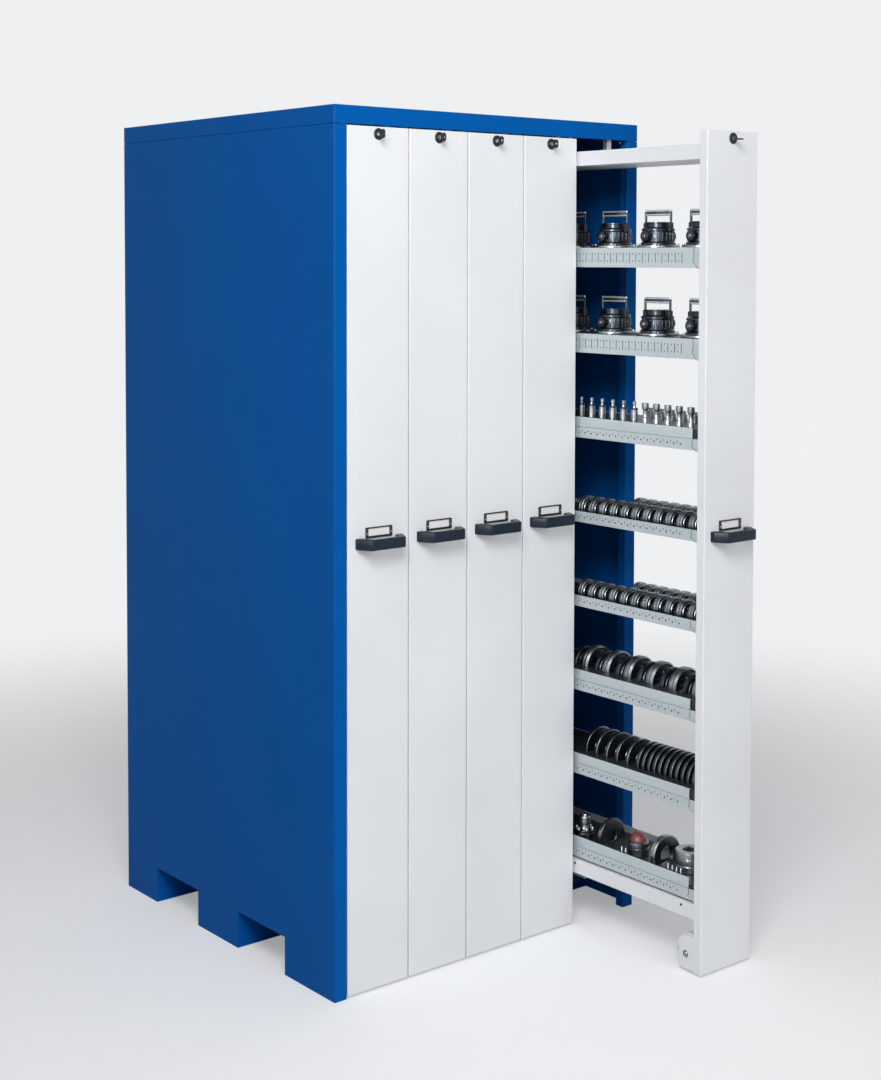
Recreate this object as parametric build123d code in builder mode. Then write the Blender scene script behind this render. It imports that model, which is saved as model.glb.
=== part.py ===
"""Punch tool cabinet: a steel cabinet with five upright pull-outs.

Millimetres. The origin is on the floor at the middle of the cabinet's footprint.
X runs to the right along the front, Y to the back, Z up. The front faces -Y.
Pull-outs 1 to 4 are closed and pull-out 5, the right-most, is drawn out part of the way.
"""

import os
from math import cos, radians, sin

from build123d import *

os.makedirs("parts", exist_ok=True)

# The cabinet as a whole
cabinet_width = 920
cabinet_depth = 912
cabinet_height = 1950
body_sheet = 2
bend_radius = 3

# Cap and upright stiles of the shell
cap_height = 40
cap_seam = 1
stile_width = 34
stile_lip = 24
back_return = 25
tongue_overlap = 30
tongue_inset = 60

# Base: fork channels, skids, rails
pocket_width = 196
pocket_height = 87
pocket_spread = 374
pocket_shift = 22
channel_wall = 3
channel_foot = 25
skid_width = 60
rail_width = 44
rail_wall = 3
rail_height = 22
rail_front_inset = 27
rail_back_inset = 32
liner_wall = 3
liner_drop = 2

# Five pull-outs side by side between the stiles
pull_out_count = 5
panel_gap = 3
panel_floor_gap = 5
panel_depth = 22
panel_sheet = 1.5
panel_edge_radius = 2.5
drawn_out = 413

# Frame of a pull-out
beam_height = 34
beam_sheet = 2
beam_side_clearance = 2
top_beam_drop = 30
bottom_beam_rise = 126
rear_plate_sheet = 1.5
rear_flange = 20
rear_gap = 32
runner_length = 60
runner_inset = 14
slide_clearance = 0.4
stop_clearance = 0.5

# Top guides that hang from the roof into the top beams
post_size = 14
post_offset = 47
post_gap = 4
guide_length = 36
guide_spacing = 38
guide_height = 14
guide_lift = 3

# Floor wheels under the front of each pull-out
wheel_diameter = 85
wheel_width = 28
wheel_setback = 46
wheel_inset = 13
wheel_floor_gap = 0.3
wheel_rounding = 5
hub_radius = 17
hub_recess = 4
axle_radius = 6
spacer_radius = 10
bearing_clearance = 0.1
spacer_clearance = 0.5
bracket_sheet = 3
bracket_length = 67
bracket_top = 86
bracket_bottom = 8
bracket_corner = 25
bolt_head_radius = 9
bolt_head_height = 1.2

# Trays
tray_setback = 7.7
tray_sheet = 1.5
tray_end_inset = 6
tray_level_count = 8
lowest_tray = 166
top_tray_drop = 349
flat_tray_height = 26
deep_tray_height = 46
insert_height = 24
insert_clearance = 0.3
insert_end_gap = 46
insert_rear_gap = 30
holder_end_gap = 25
holder_gap = 0.5
spare_pull_out_levels = (0, 2, 4, 6)

# Handle and label holder
handle_level = 1000
handle_width = 126
handle_height = 24
handle_depth = 40
handle_front_width = 92
handle_end_depth = 10
handle_leg = 16
handle_bar = 12
handle_rounding = 1.5
handle_screw_radius = 2.5
handle_screw_length = 9
handle_screw_head_radius = 5
handle_screw_head = 3
label_width = 73
label_height = 30
label_border = 6
label_thin_border = 2.5
label_depth = 3
label_card_depth = 1
label_overlap = 8

# Lock and key
lock_drop = 16
rosette_radius = 13
rosette_thickness = 2.5
lock_radius = 9.5
lock_length = 24
lock_nut_radius = 12.5
lock_nut_thickness = 3
plug_radius = 6
plug_proud = 1
cam_length = 11
cam_width = 9
cam_thickness = 2.5
key_neck_width = 8
key_neck_length = 5
key_bow_height = 20
key_bow_length = 18
key_thickness = 2.6
key_hole_radius = 3

# Tools that stand on the trays of the open pull-out
first_tool = 60
first_punch = 41
punch_radius = 8.5
punch_neck_radius = 5.5
punch_knob_radius = 4.5
punch_pitch = 35.8
punch_count = 12
spool_count = 6
short_punch_count = 8
punch_row = 28
spool_foot_rise = 14
spool_neck_rise = 16
spool_head_rise = 15
knob_body_rise = 31
knob_rise = 16
short_body_rise = 16
short_neck_rise = 8
small_ring_radius = 29
small_ring_bore = 14
small_ring_thickness = 19
small_ring_pitch = 36
small_ring_count = 11
second_ring_count = 8
small_ring_row = 36
low_holder = 15
large_ring_radius = 46.5
large_ring_bore = 24
large_ring_thickness = 22
dark_ring_radius = 43
dark_ring_thickness = 14
large_ring_pitch = 72.6
large_ring_count = 6
disc_radius = 49.5
disc_bore = 12
disc_thickness = 9
disc_pitch = 17.7
disc_count = 11
spread_disc_pitch = 34.7
spread_disc_count = 5
slot_clearance = 0.5
seat_clearance = 0.3
cassette_pitch = 143
cassette_count = 4
cassette_first = 84
cassette_flange_radius = 51
cassette_flange_thickness = 6
cassette_radius = 41
cassette_rise = 54
bail_length = 86
bail_height = 29
bail_width = 14
bail_strap = 4
bail_grip = 9
holder_plate = 4

# Mixed tools on the lowest tray: places behind the panel's face, offsets to the left
mixed_holder = 31
flat_ring_radius = 36
flat_ring_bore = 18
flat_ring_thickness = 16
flat_ring_count = 3
flat_ring_place = 110
pin_radius = 3
pin_height = 24
pin_pitch = 13.3
pin_offset = 60
front_pin_place = 84
front_pin_count = 4
rear_pin_place = 260.5
rear_pin_count = 2
lone_ring_radius = 46
lone_ring_bore = 20
lone_ring_thickness = 14
lone_ring_place = 190
dome_place = 258
dome_offset = 20
dome_ring_radius = 25
dome_ring_height = 34
dome_radius = 20
lone_disc_radius = 43
lone_disc_thickness = 12
lone_disc_place = 370
turret_place = 430
turret_offset = 32
turret_flange_radius = 27
turret_flange_height = 22
turret_neck_radius = 10
turret_neck_height = 14
turret_head_radius = 15
turret_head_height = 18

# Screws and buffers
screw_radius = 5
screw_head = 2
screw_inset = 13
screws_per_edge = 7
buffer_radius = 10
buffer_rise = 250
buffer_drop = 200

# Places worked out from the sizes above
front = -cabinet_depth / 2
back = cabinet_depth / 2
half_width = cabinet_width / 2
side_height = cabinet_height - cap_height - cap_seam
roof_underside = cabinet_height - body_sheet
base_top = pocket_height + channel_wall
bay_pitch = (cabinet_width - 2 * stile_width) / pull_out_count
panel_width = bay_pitch - panel_gap
panel_height = cabinet_height - cap_height - panel_gap - panel_floor_gap
panel_top = panel_floor_gap + panel_height
beam_width = panel_width - 2 * panel_sheet - 2 * beam_side_clearance
top_beam_top = panel_top - top_beam_drop
top_beam_bottom = top_beam_top - beam_height
bottom_beam_top = bottom_beam_rise + beam_height
back_panel_front = back - 2 * body_sheet
rear_plate_back = cabinet_depth - 2 * body_sheet - rear_gap
rear_plate_front = rear_plate_back - rear_plate_sheet
tray_length = rear_plate_front - panel_sheet
lock_level = panel_top - lock_drop
wheel_radius = wheel_diameter / 2
axle_level = wheel_radius + wheel_floor_gap
rail_front = front + rail_front_inset
rail_back = back - rail_back_inset
runner_front = rear_plate_front - runner_inset - runner_length
travel = runner_front - rail_front_inset - rail_wall - stop_clearance
tray_width = panel_width - 2 * tray_setback
tray_inside = tray_width - 2 * tray_sheet
tray_pitch = (cabinet_height - top_tray_drop - lowest_tray) / (tray_level_count - 1)
deep_tray_levels = (6, 7)
raised_levels = (0, 1, 2, 5)
pocket_places = (pocket_shift - pocket_spread / 2, pocket_shift + pocket_spread / 2)
channel_reach = pocket_width / 2 + channel_wall + channel_foot
top_buffer = cabinet_height - buffer_drop
buffer_levels = (buffer_rise, (buffer_rise + top_buffer) / 2, top_buffer)
punch_level = 5
small_ring_levels = (3, 4)
large_ring_level = 2
disc_level = 1
mixed_level = 0


def bay_centre(number: int) -> float:
    """Middle of a pull-out's bay, counted from 1 at the left."""
    return (number - (pull_out_count + 1) / 2) * bay_pitch


def across(place: float) -> Plane:
    """Upright plane across the cabinet, seen from the front."""
    return Plane.XZ.offset(-place)


def along(place: float) -> Plane:
    """Upright plane from the front to the back, seen from the right."""
    return Plane.YZ.offset(place)


def save(part: Part, node: str) -> None:
    """Labels one finished piece and writes it."""
    part.label = node
    export_step(part, f"parts/{node}.step")


def save_group(pieces: list, node: str) -> None:
    """Writes pieces that touch each other as separate solids of one node."""
    group = Compound(label=node, children=[piece.part for piece in pieces])
    export_step(group, f"parts/{node}.step")


def tray_floor(level: int) -> float:
    """Underside of the tray at a level, counted from 0 at the bottom."""
    return lowest_tray + level * tray_pitch


def tray_wall(level: int) -> float:
    """Height of the tray's own walls at a level."""
    return deep_tray_height if level in deep_tray_levels else flat_tray_height


# Side panels: outer sheet, front stile with its lip, back return and fork cut-outs
def side_panel(hand: int, node: str) -> None:
    """Makes a side panel; hand is -1 for the left one and 1 for the right one."""
    outline = [
        (0, 0),
        (stile_width, 0),
        (stile_width, stile_lip),
        (stile_width - body_sheet, stile_lip),
        (stile_width - body_sheet, body_sheet),
        (body_sheet, body_sheet),
        (body_sheet, cabinet_depth - body_sheet),
        (back_return, cabinet_depth - body_sheet),
        (back_return, cabinet_depth),
        (0, cabinet_depth),
    ]
    corners = [(hand * (half_width - inward), front + rearward) for inward, rearward in outline]
    tongue_start = side_height - tongue_overlap
    with BuildPart() as side:
        with BuildSketch(Plane.XY):
            with BuildLine():
                Polyline(*corners, close=True)
            make_face()
        extrude(amount=side_height)
        upright = side.edges().filter_by(Axis.Z)
        rear_corner = upright.group_by(Axis.Y)[-1].sort_by(Axis.X)[0 if hand < 0 else -1]
        fillet([*upright.group_by(Axis.Y)[0], rear_corner], bend_radius)
        with BuildSketch(Plane.XY.offset(tongue_start)):
            with Locations((hand * (half_width - 1.5 * body_sheet), 0)):
                Rectangle(body_sheet, cabinet_depth - 2 * tongue_inset)
        extrude(amount=roof_underside - tongue_start)
        with BuildSketch(along(hand * half_width)):
            with Locations(*[(place, pocket_height / 2) for place in pocket_places]):
                Rectangle(pocket_width, pocket_height)
        extrude(amount=2 * body_sheet, both=True, mode=Mode.SUBTRACT)
    save(side.part, node)


side_panel(-1, "left_side_panel")
side_panel(1, "right_side_panel")

# Back panel, inside the side panels' returns
with BuildPart() as back_panel:
    with BuildSketch(across(back_panel_front)):
        with Locations((0, side_height / 2 + panel_floor_gap / 2)):
            Rectangle(cabinet_width - 2 * body_sheet, side_height - panel_floor_gap)
    extrude(amount=-body_sheet)
save(back_panel.part, "back_panel")

# Cap: roof and skirt in one, the front of the skirt is the fascia
with BuildPart() as top_cap:
    with BuildSketch(Plane.XY.offset(cabinet_height - cap_height)):
        Rectangle(cabinet_width, cabinet_depth)
    extrude(amount=cap_height)
    fillet(top_cap.edges().filter_by(Axis.Z), bend_radius)
    fillet(top_cap.faces().sort_by(Axis.Z)[-1].edges(), body_sheet)
    with BuildSketch(Plane.XY.offset(cabinet_height - cap_height)):
        Rectangle(cabinet_width - 2 * body_sheet, cabinet_depth - 2 * body_sheet)
    extrude(amount=cap_height - body_sheet, mode=Mode.SUBTRACT)
save(top_cap.part, "top_cap")

# Fork channels: two hat sections across the whole base
half_pocket = pocket_width / 2
hat = [
    (-channel_reach, 0),
    (-channel_reach, channel_wall),
    (-half_pocket - channel_wall, channel_wall),
    (-half_pocket - channel_wall, base_top),
    (half_pocket + channel_wall, base_top),
    (half_pocket + channel_wall, channel_wall),
    (channel_reach, channel_wall),
    (channel_reach, 0),
    (half_pocket, 0),
    (half_pocket, pocket_height),
    (-half_pocket, pocket_height),
    (-half_pocket, 0),
]
with BuildPart() as fork_channels:
    for place in pocket_places:
        with BuildSketch(along(-half_width + body_sheet)):
            with BuildLine():
                Polyline(*[(place + y, z) for y, z in hat], close=True)
            make_face()
        extrude(amount=cabinet_width - 2 * body_sheet)
save(fork_channels.part, "fork_channels")

# Skids: square tubes across the base, between the fork channels and behind them
skid_places = (pocket_shift, (pocket_places[1] + channel_reach + back_panel_front) / 2)
with BuildPart() as base_skids:
    with BuildSketch(along(-half_width + body_sheet)):
        with Locations(*[(place, base_top / 2) for place in skid_places]):
            RectangleRounded(skid_width, base_top, bend_radius)
            Rectangle(skid_width - 2 * channel_wall, base_top - 2 * channel_wall, mode=Mode.SUBTRACT)
    extrude(amount=cabinet_width - 2 * body_sheet)
save(base_skids.part, "base_skids")

# Lower rails with nylon liners, one for each pull-out
with BuildPart() as lower_rails:
    for number in range(1, pull_out_count + 1):
        with BuildSketch(Plane.XY.offset(base_top)):
            with Locations((bay_centre(number), (rail_front + rail_back) / 2)):
                Rectangle(rail_width, rail_back - rail_front)
        extrude(amount=rail_height)
        with BuildSketch(Plane.XY.offset(base_top + rail_wall)):
            with Locations((bay_centre(number), (rail_front + rail_back) / 2 + rail_wall)):
                Rectangle(rail_width - 2 * rail_wall, rail_back - rail_front)
        extrude(amount=rail_height, mode=Mode.SUBTRACT)
save(lower_rails.part, "lower_rails")

liner_width = rail_width - 2 * rail_wall
liner_front = rail_front + rail_wall
liner_top = base_top + rail_height - liner_drop
with BuildPart() as rail_liners:
    for number in range(1, pull_out_count + 1):
        with BuildSketch(Plane.XY.offset(base_top + rail_wall)):
            with Locations((bay_centre(number), (liner_front + rail_back) / 2)):
                Rectangle(liner_width, rail_back - liner_front)
        extrude(amount=liner_top - base_top - rail_wall)
        with BuildSketch(Plane.XY.offset(base_top + rail_wall + liner_wall)):
            with Locations((bay_centre(number), (liner_front + rail_back) / 2)):
                Rectangle(liner_width - 2 * liner_wall, rail_back - liner_front)
        extrude(amount=rail_height, mode=Mode.SUBTRACT)
save(rail_liners.part, "rail_liners")

# Top guides: a square post hangs from the roof on each side of every bay
guide_bottom = top_beam_bottom + beam_sheet + guide_lift
guide_top = guide_bottom + guide_height
guide_outer = beam_width / 2 - beam_sheet - slide_clearance
guide_inner = post_offset - post_size / 2
post_front = front + panel_depth + post_gap
guide_places = []
for number in range(1, pull_out_count + 1):
    for side_sign, step in ((1, 0), (-1, guide_spacing)):
        guide_places.append((bay_centre(number), side_sign, post_front + step))

with BuildPart() as guide_posts:
    for centre, side_sign, place in guide_places:
        with BuildSketch(Plane.XY.offset(guide_top)):
            with Locations((centre + side_sign * post_offset, place + post_size / 2)):
                Rectangle(post_size, post_size)
        extrude(amount=roof_underside - guide_top)
save(guide_posts.part, "guide_posts")

with BuildPart() as glide_blocks:
    for centre, side_sign, place in guide_places:
        with BuildSketch(Plane.XY.offset(guide_bottom)):
            middle = centre + side_sign * (guide_inner + guide_outer) / 2
            with Locations((middle, place + guide_length / 2)):
                Rectangle(guide_outer - guide_inner, guide_length)
        extrude(amount=guide_height)
save(glide_blocks.part, "glide_blocks")

# Rubber buffers that the closed pull-outs lie against
with BuildPart() as stop_buffers:
    for number in range(1, pull_out_count + 1):
        with BuildSketch(across(back_panel_front)):
            with Locations(*[(bay_centre(number), level) for level in buffer_levels]):
                Circle(buffer_radius)
        extrude(amount=rear_gap - slide_clearance)
save(stop_buffers.part, "stop_buffers")

# Pan-head screws that hold the back panel to the returns
screw_column = half_width - screw_inset
screw_step = (side_height - 2 * pocket_height) / (screws_per_edge - 1)
with BuildPart() as back_screws:
    with BuildSketch(across(back)):
        for side_sign in (-1, 1):
            for index in range(screws_per_edge):
                with Locations((side_sign * screw_column, pocket_height + index * screw_step)):
                    Circle(screw_radius)
    extrude(amount=-screw_head)
    fillet(back_screws.edges().group_by(Axis.Y)[-1], screw_head / 2)
save(back_screws.part, "back_screws")


def handle_screw_spots(centre: float) -> list:
    """Places of the two screws that hold the handle."""
    reach = (handle_width - handle_leg) / 2
    return [(centre - reach, handle_level), (centre + reach, handle_level)]


# Front panel of a pull-out: a folded tray of sheet, open towards the back
def front_panel(centre: float, face: float, number: int) -> None:
    """Makes the front panel whose front lies at face."""
    with BuildPart() as panel:
        with BuildSketch(Plane.XY.offset(panel_floor_gap)):
            with Locations((centre, face + panel_depth / 2)):
                Rectangle(panel_width, panel_depth)
        extrude(amount=panel_height)
        fillet(panel.edges().filter_by(Axis.Z).group_by(Axis.Y)[0], panel_edge_radius)
        with BuildSketch(Plane.XY.offset(panel_floor_gap + panel_sheet)):
            with Locations((centre, face + panel_depth / 2 + panel_sheet)):
                Rectangle(panel_width - 2 * panel_sheet, panel_depth)
        extrude(amount=panel_height - 2 * panel_sheet, mode=Mode.SUBTRACT)
        with BuildSketch(across(face)):
            with Locations((centre, lock_level)):
                Circle(lock_radius + bearing_clearance)
            with Locations(*handle_screw_spots(centre)):
                Circle(handle_screw_radius)
        extrude(amount=-2 * panel_sheet, mode=Mode.SUBTRACT)
    save(panel.part, f"front_panel_{number}")


# Frame of a pull-out: beams, rear plate, runner, wheel brackets and axle
def channel_beam(centre: float, face: float, bottom: float, opens_up: bool) -> BuildPart:
    """Makes a U beam from the front panel to the rear plate."""
    lift = beam_sheet if opens_up else -beam_sheet
    with BuildPart() as beam:
        with BuildSketch(Plane.XY.offset(bottom)):
            with Locations((centre, face + panel_sheet + tray_length / 2)):
                Rectangle(beam_width, tray_length)
        extrude(amount=beam_height)
        with BuildSketch(Plane.XY.offset(bottom + lift)):
            with Locations((centre, face + panel_sheet + tray_length / 2)):
                Rectangle(beam_width - 2 * beam_sheet, tray_length)
        extrude(amount=beam_height, mode=Mode.SUBTRACT)
    return beam


def rear_plate(centre: float, face: float) -> BuildPart:
    """Makes the rear plate with its two forward flanges."""
    outer = beam_width + 2 * rear_plate_sheet
    with BuildPart() as plate:
        with BuildSketch(Plane.XY.offset(bottom_beam_rise)):
            with Locations((centre, face + rear_plate_back - rear_flange / 2)):
                Rectangle(outer, rear_flange)
            with Locations((centre, face + rear_plate_front - rear_flange / 2)):
                Rectangle(beam_width, rear_flange, mode=Mode.SUBTRACT)
        extrude(amount=top_beam_top - bottom_beam_rise)
    return plate


def runner(centre: float, face: float) -> BuildPart:
    """Makes the runner that slides in the lower rail's liner."""
    bottom = base_top + rail_wall + liner_wall + slide_clearance
    width = liner_width - 2 * liner_wall - 2 * slide_clearance
    with BuildPart() as foot:
        with BuildSketch(Plane.XY.offset(bottom)):
            with Locations((centre, face + runner_front + runner_length / 2)):
                Rectangle(width, runner_length)
        extrude(amount=bottom_beam_top - beam_sheet - bottom)
    return foot


def wheel_bracket(centre: float, face: float, side_sign: int) -> BuildPart:
    """Makes the plate beside a floor wheel, fixed inside the panel's flange."""
    outer = panel_width / 2 - panel_sheet
    left = centre + (outer - bracket_sheet if side_sign > 0 else -outer)
    with BuildPart() as bracket:
        with BuildSketch(along(left)) as outline:
            with Locations((face + (panel_sheet + bracket_length) / 2, (bracket_top + bracket_bottom) / 2)):
                Rectangle(bracket_length - panel_sheet, bracket_top - bracket_bottom)
            fillet(outline.vertices().sort_by_distance((face + bracket_length, bracket_top))[0], bracket_corner)
            with Locations((face + wheel_setback, axle_level)):
                Circle(axle_radius + bearing_clearance, mode=Mode.SUBTRACT)
        extrude(amount=bracket_sheet)
    return bracket


def axle(centre: float, face: float) -> BuildPart:
    """Makes the fixed axle, with a thick middle between the wheels and flat heads."""
    outer = panel_width / 2 - panel_sheet
    wheel_inner = panel_width / 2 - wheel_inset - wheel_width - spacer_clearance
    with BuildPart() as shaft:
        for radius, half_length in ((axle_radius, outer), (spacer_radius, wheel_inner)):
            with BuildSketch(along(centre - half_length)):
                with Locations((face + wheel_setback, axle_level)):
                    Circle(radius)
            extrude(amount=2 * half_length)
        for start in (centre - outer - bolt_head_height, centre + outer):
            with BuildSketch(along(start)):
                with Locations((face + wheel_setback, axle_level)):
                    Circle(bolt_head_radius)
            extrude(amount=bolt_head_height)
    return shaft


def handle_screws(centre: float, face: float) -> BuildPart:
    """Makes the screws that go through the sheet from behind into the handle."""
    with BuildPart() as screws:
        with BuildSketch(across(face - handle_screw_length)):
            with Locations(*handle_screw_spots(centre)):
                Circle(handle_screw_radius)
        extrude(amount=-handle_screw_length - panel_sheet)
        with BuildSketch(across(face + panel_sheet)):
            with Locations(*handle_screw_spots(centre)):
                Circle(handle_screw_head_radius)
        extrude(amount=-handle_screw_head)
    return screws


def frame(centre: float, face: float, number: int) -> None:
    """Makes the pieces of the frame as separate solids of one node."""
    pieces = [
        channel_beam(centre, face, top_beam_bottom, True),
        channel_beam(centre, face, bottom_beam_rise, False),
        rear_plate(centre, face),
        runner(centre, face),
        wheel_bracket(centre, face, -1),
        wheel_bracket(centre, face, 1),
        axle(centre, face),
        handle_screws(centre, face),
    ]
    save_group(pieces, f"frame_{number}")


# Floor wheels, two on the fixed axle of each pull-out
def floor_wheels(centre: float, face: float, number: int) -> None:
    """Makes the two wheels, which turn together as the pull-out rolls."""
    with BuildPart() as wheels:
        for start in (-panel_width / 2 + wheel_inset, panel_width / 2 - wheel_inset - wheel_width):
            with BuildSketch(along(centre + start)):
                with Locations((face + wheel_setback, axle_level)):
                    Circle(wheel_radius)
            extrude(amount=wheel_width)
        rims = wheels.edges().filter_by(GeomType.CIRCLE)
        fillet(rims, wheel_rounding)
        for start in (-panel_width / 2 + wheel_inset, panel_width / 2 - wheel_inset - wheel_width):
            with BuildSketch(along(centre + start)):
                with Locations((face + wheel_setback, axle_level)):
                    Circle(axle_radius + bearing_clearance)
            extrude(amount=wheel_width, mode=Mode.SUBTRACT)
            for recess in (start, start + wheel_width - hub_recess):
                with BuildSketch(along(centre + recess)):
                    with Locations((face + wheel_setback, axle_level)):
                        Circle(wheel_radius - 3 * wheel_rounding)
                        Circle(hub_radius, mode=Mode.SUBTRACT)
                extrude(amount=hub_recess, mode=Mode.SUBTRACT)
    save(wheels.part, f"floor_wheels_{number}")


# Trays between the front panel and the rear plate
def trays(centre: float, face: float, number: int, levels: tuple) -> None:
    """Makes open trays of galvanized sheet, with the front end set back from the panel."""
    with BuildPart() as stack:
        for level in levels:
            with BuildSketch(Plane.XY.offset(tray_floor(level))):
                with Locations((centre, face + panel_sheet + tray_length / 2)):
                    Rectangle(tray_width, tray_length)
            extrude(amount=tray_wall(level))
            with BuildSketch(Plane.XY.offset(tray_floor(level) + tray_sheet)):
                with Locations((centre, face + panel_sheet + tray_end_inset / 2)):
                    Rectangle(tray_inside, tray_end_inset)
                with Locations((centre, face + panel_sheet + (tray_length + tray_end_inset) / 2)):
                    Rectangle(tray_inside, tray_length - tray_end_inset - 2 * tray_sheet)
            extrude(amount=tray_wall(level), mode=Mode.SUBTRACT)
    save(stack.part, f"trays_{number}")


# Handle: a bow with slanted ends, seen from above as a flat trapezium
def handle(centre: float, face: float, number: int) -> None:
    """Makes the bow handle on the front panel."""
    half = handle_width / 2
    half_front = handle_front_width / 2
    outer = [
        (-half, 0),
        (-half, -handle_end_depth),
        (-half_front, -handle_depth),
        (half_front, -handle_depth),
        (half, -handle_end_depth),
        (half, 0),
    ]
    inner_front = half_front - handle_bar
    inner_back = half - handle_leg
    inner = [
        (-inner_back, 0),
        (-inner_front, -handle_depth + handle_bar),
        (inner_front, -handle_depth + handle_bar),
        (inner_back, 0),
    ]
    with BuildPart() as bow:
        with BuildSketch(Plane.XY.offset(handle_level - handle_height / 2)):
            with BuildLine():
                Polyline(*[(centre + x, face + y) for x, y in outer], close=True)
            make_face()
            with BuildLine():
                Polyline(*[(centre + x, face + y) for x, y in inner], close=True)
            make_face(mode=Mode.SUBTRACT)
        extrude(amount=handle_height)
        bends = bow.edges().filter_by(Axis.Z).group_by(Axis.Y)
        fillet(bends[0] + bends[1] + bends[2], 2 * handle_rounding)
        rims = bow.edges().filter_by(Axis.Z, reverse=True).filter_by(Axis.X).group_by(Axis.Y)[0]
        fillet(rims, handle_rounding)
        with BuildSketch(across(face)):
            with Locations(*handle_screw_spots(centre)):
                Circle(handle_screw_radius)
        extrude(amount=handle_screw_length, mode=Mode.SUBTRACT)
    save(bow.part, f"handle_{number}")


# Label holder: a thin frame on the panel above the bow, with a card in it
def label_holder(centre: float, face: float, number: int) -> None:
    """Makes the frame and the card as two solids."""
    bottom = handle_level + handle_height / 2 - label_overlap
    window_width = label_width - 2 * label_border
    window_height = label_height - label_border - label_thin_border
    window_level = bottom + label_border + window_height / 2
    with BuildPart() as holder:
        with BuildSketch(across(face)):
            with Locations((centre, bottom + label_height / 2)):
                RectangleRounded(label_width, label_height, label_thin_border)
            with Locations((centre, window_level)):
                Rectangle(window_width, window_height, mode=Mode.SUBTRACT)
        extrude(amount=label_depth)
    with BuildPart() as card:
        with BuildSketch(across(face)):
            with Locations((centre, window_level)):
                Rectangle(window_width, window_height)
        extrude(amount=label_card_depth)
    save_group([holder, card], f"label_holder_{number}")


# Lock: fixed housing with a round rosette and a nut behind the sheet
def lock(centre: float, face: float, number: int) -> None:
    """Makes the lock housing in the front panel."""
    bore = plug_radius + bearing_clearance
    rings = (
        (face, rosette_radius, rosette_thickness),
        (face, lock_radius, -lock_length),
        (face + panel_sheet, lock_nut_radius, -lock_nut_thickness),
    )
    with BuildPart() as housing:
        for place, radius, amount in rings:
            with BuildSketch(across(place)):
                with Locations((centre, lock_level)):
                    Circle(radius)
                    Circle(bore, mode=Mode.SUBTRACT)
            extrude(amount=amount)
        rim = housing.edges().filter_by(GeomType.CIRCLE).group_by(Axis.Y)[0].sort_by(SortBy.RADIUS)[-1]
        fillet(rim, rosette_thickness / 2)
    save(housing.part, f"lock_{number}")


# Key, plug and cam, which turn together in the lock
def key(centre: float, face: float, number: int, turn: float) -> None:
    """Makes the plug with its key and cam; turn is 0 upright and 90 on its side."""
    right = sin(radians(turn))
    up = cos(radians(turn))
    plug_front = face - rosette_thickness - plug_proud
    plug_back = face + lock_length + slide_clearance
    bow = Plane(origin=(centre, plug_front, lock_level), x_dir=(0, -1, 0), z_dir=(up, 0, -right))
    with BuildPart() as turning:
        with BuildSketch(across(plug_front)):
            with Locations((centre, lock_level)):
                Circle(plug_radius)
        extrude(amount=plug_front - plug_back)
        with BuildSketch(across(plug_back)):
            reach = cam_length / 2
            with Locations((centre + reach * right, lock_level + reach * up)):
                SlotCenterToCenter(cam_length, cam_width, rotation=90 - turn)
        extrude(amount=-cam_thickness)
        with BuildSketch(bow):
            with Locations((key_neck_length / 2, 0)):
                Rectangle(key_neck_length, key_neck_width)
            with Locations((key_neck_length + key_bow_length / 2, 0)):
                RectangleRounded(key_bow_length, key_bow_height, key_neck_length)
            with Locations((key_neck_length + key_bow_length / 2, 0)):
                Circle(key_hole_radius, mode=Mode.SUBTRACT)
        extrude(amount=key_thickness / 2, both=True)
    save(turning.part, f"key_{number}")


print(f"A pull-out slides {travel:g} mm out.")
full_trays = tuple(range(tray_level_count))
for number in range(1, pull_out_count + 1):
    is_open = number == pull_out_count
    centre = bay_centre(number)
    face = front - drawn_out if is_open else front
    front_panel(centre, face, number)
    frame(centre, face, number)
    floor_wheels(centre, face, number)
    trays(centre, face, number, full_trays if is_open else spare_pull_out_levels)
    handle(centre, face, number)
    label_holder(centre, face, number)
    lock(centre, face, number)
    key(centre, face, number, 90 if is_open else 0)

# Raised inserts and tool holders on the trays of the open pull-out
centre = bay_centre(pull_out_count)
face = front - drawn_out
insert_front = face + insert_end_gap
insert_back = face + panel_sheet + tray_length - insert_rear_gap
insert_inside = tray_inside - 2 * insert_clearance - 2 * tray_sheet
holder_front = face + holder_end_gap
holder_middle = (holder_front + insert_back) / 2
holder_length = insert_back - holder_front


def insert_floor(level: int) -> float:
    """Top of the sheet that the tools of a level stand on."""
    return tray_floor(level) + (2 * tray_sheet if level in raised_levels else tray_sheet)


def holder_width(level: int) -> float:
    """Width of a holder inside the insert or the tray of a level."""
    return (insert_inside if level in raised_levels else tray_inside) - 2 * holder_gap


# An insert stands in its tray, rests on the rim and makes the tray higher
half_insert = [
    (insert_inside / 2, 2 * tray_sheet),
    (insert_inside / 2, flat_tray_height + tray_sheet),
    (tray_inside / 2, flat_tray_height + tray_sheet),
    (tray_inside / 2, flat_tray_height + insert_height),
    (tray_width / 2, flat_tray_height + insert_height),
    (tray_width / 2, flat_tray_height),
    (insert_inside / 2 + tray_sheet, flat_tray_height),
    (insert_inside / 2 + tray_sheet, tray_sheet),
]
insert_outline = half_insert + [(-x, z) for x, z in reversed(half_insert)]
with BuildPart() as tray_inserts:
    for level in raised_levels:
        with BuildSketch(across(insert_front)):
            with BuildLine():
                Polyline(*[(centre + x, tray_floor(level) + z) for x, z in insert_outline], close=True)
            make_face()
        extrude(amount=insert_front - insert_back)
save(tray_inserts.part, "tray_inserts")


def row(count: int, pitch: float, start: float) -> list:
    """Places along a tray, counted from the front."""
    return [face + start + index * pitch for index in range(count)]


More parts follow.
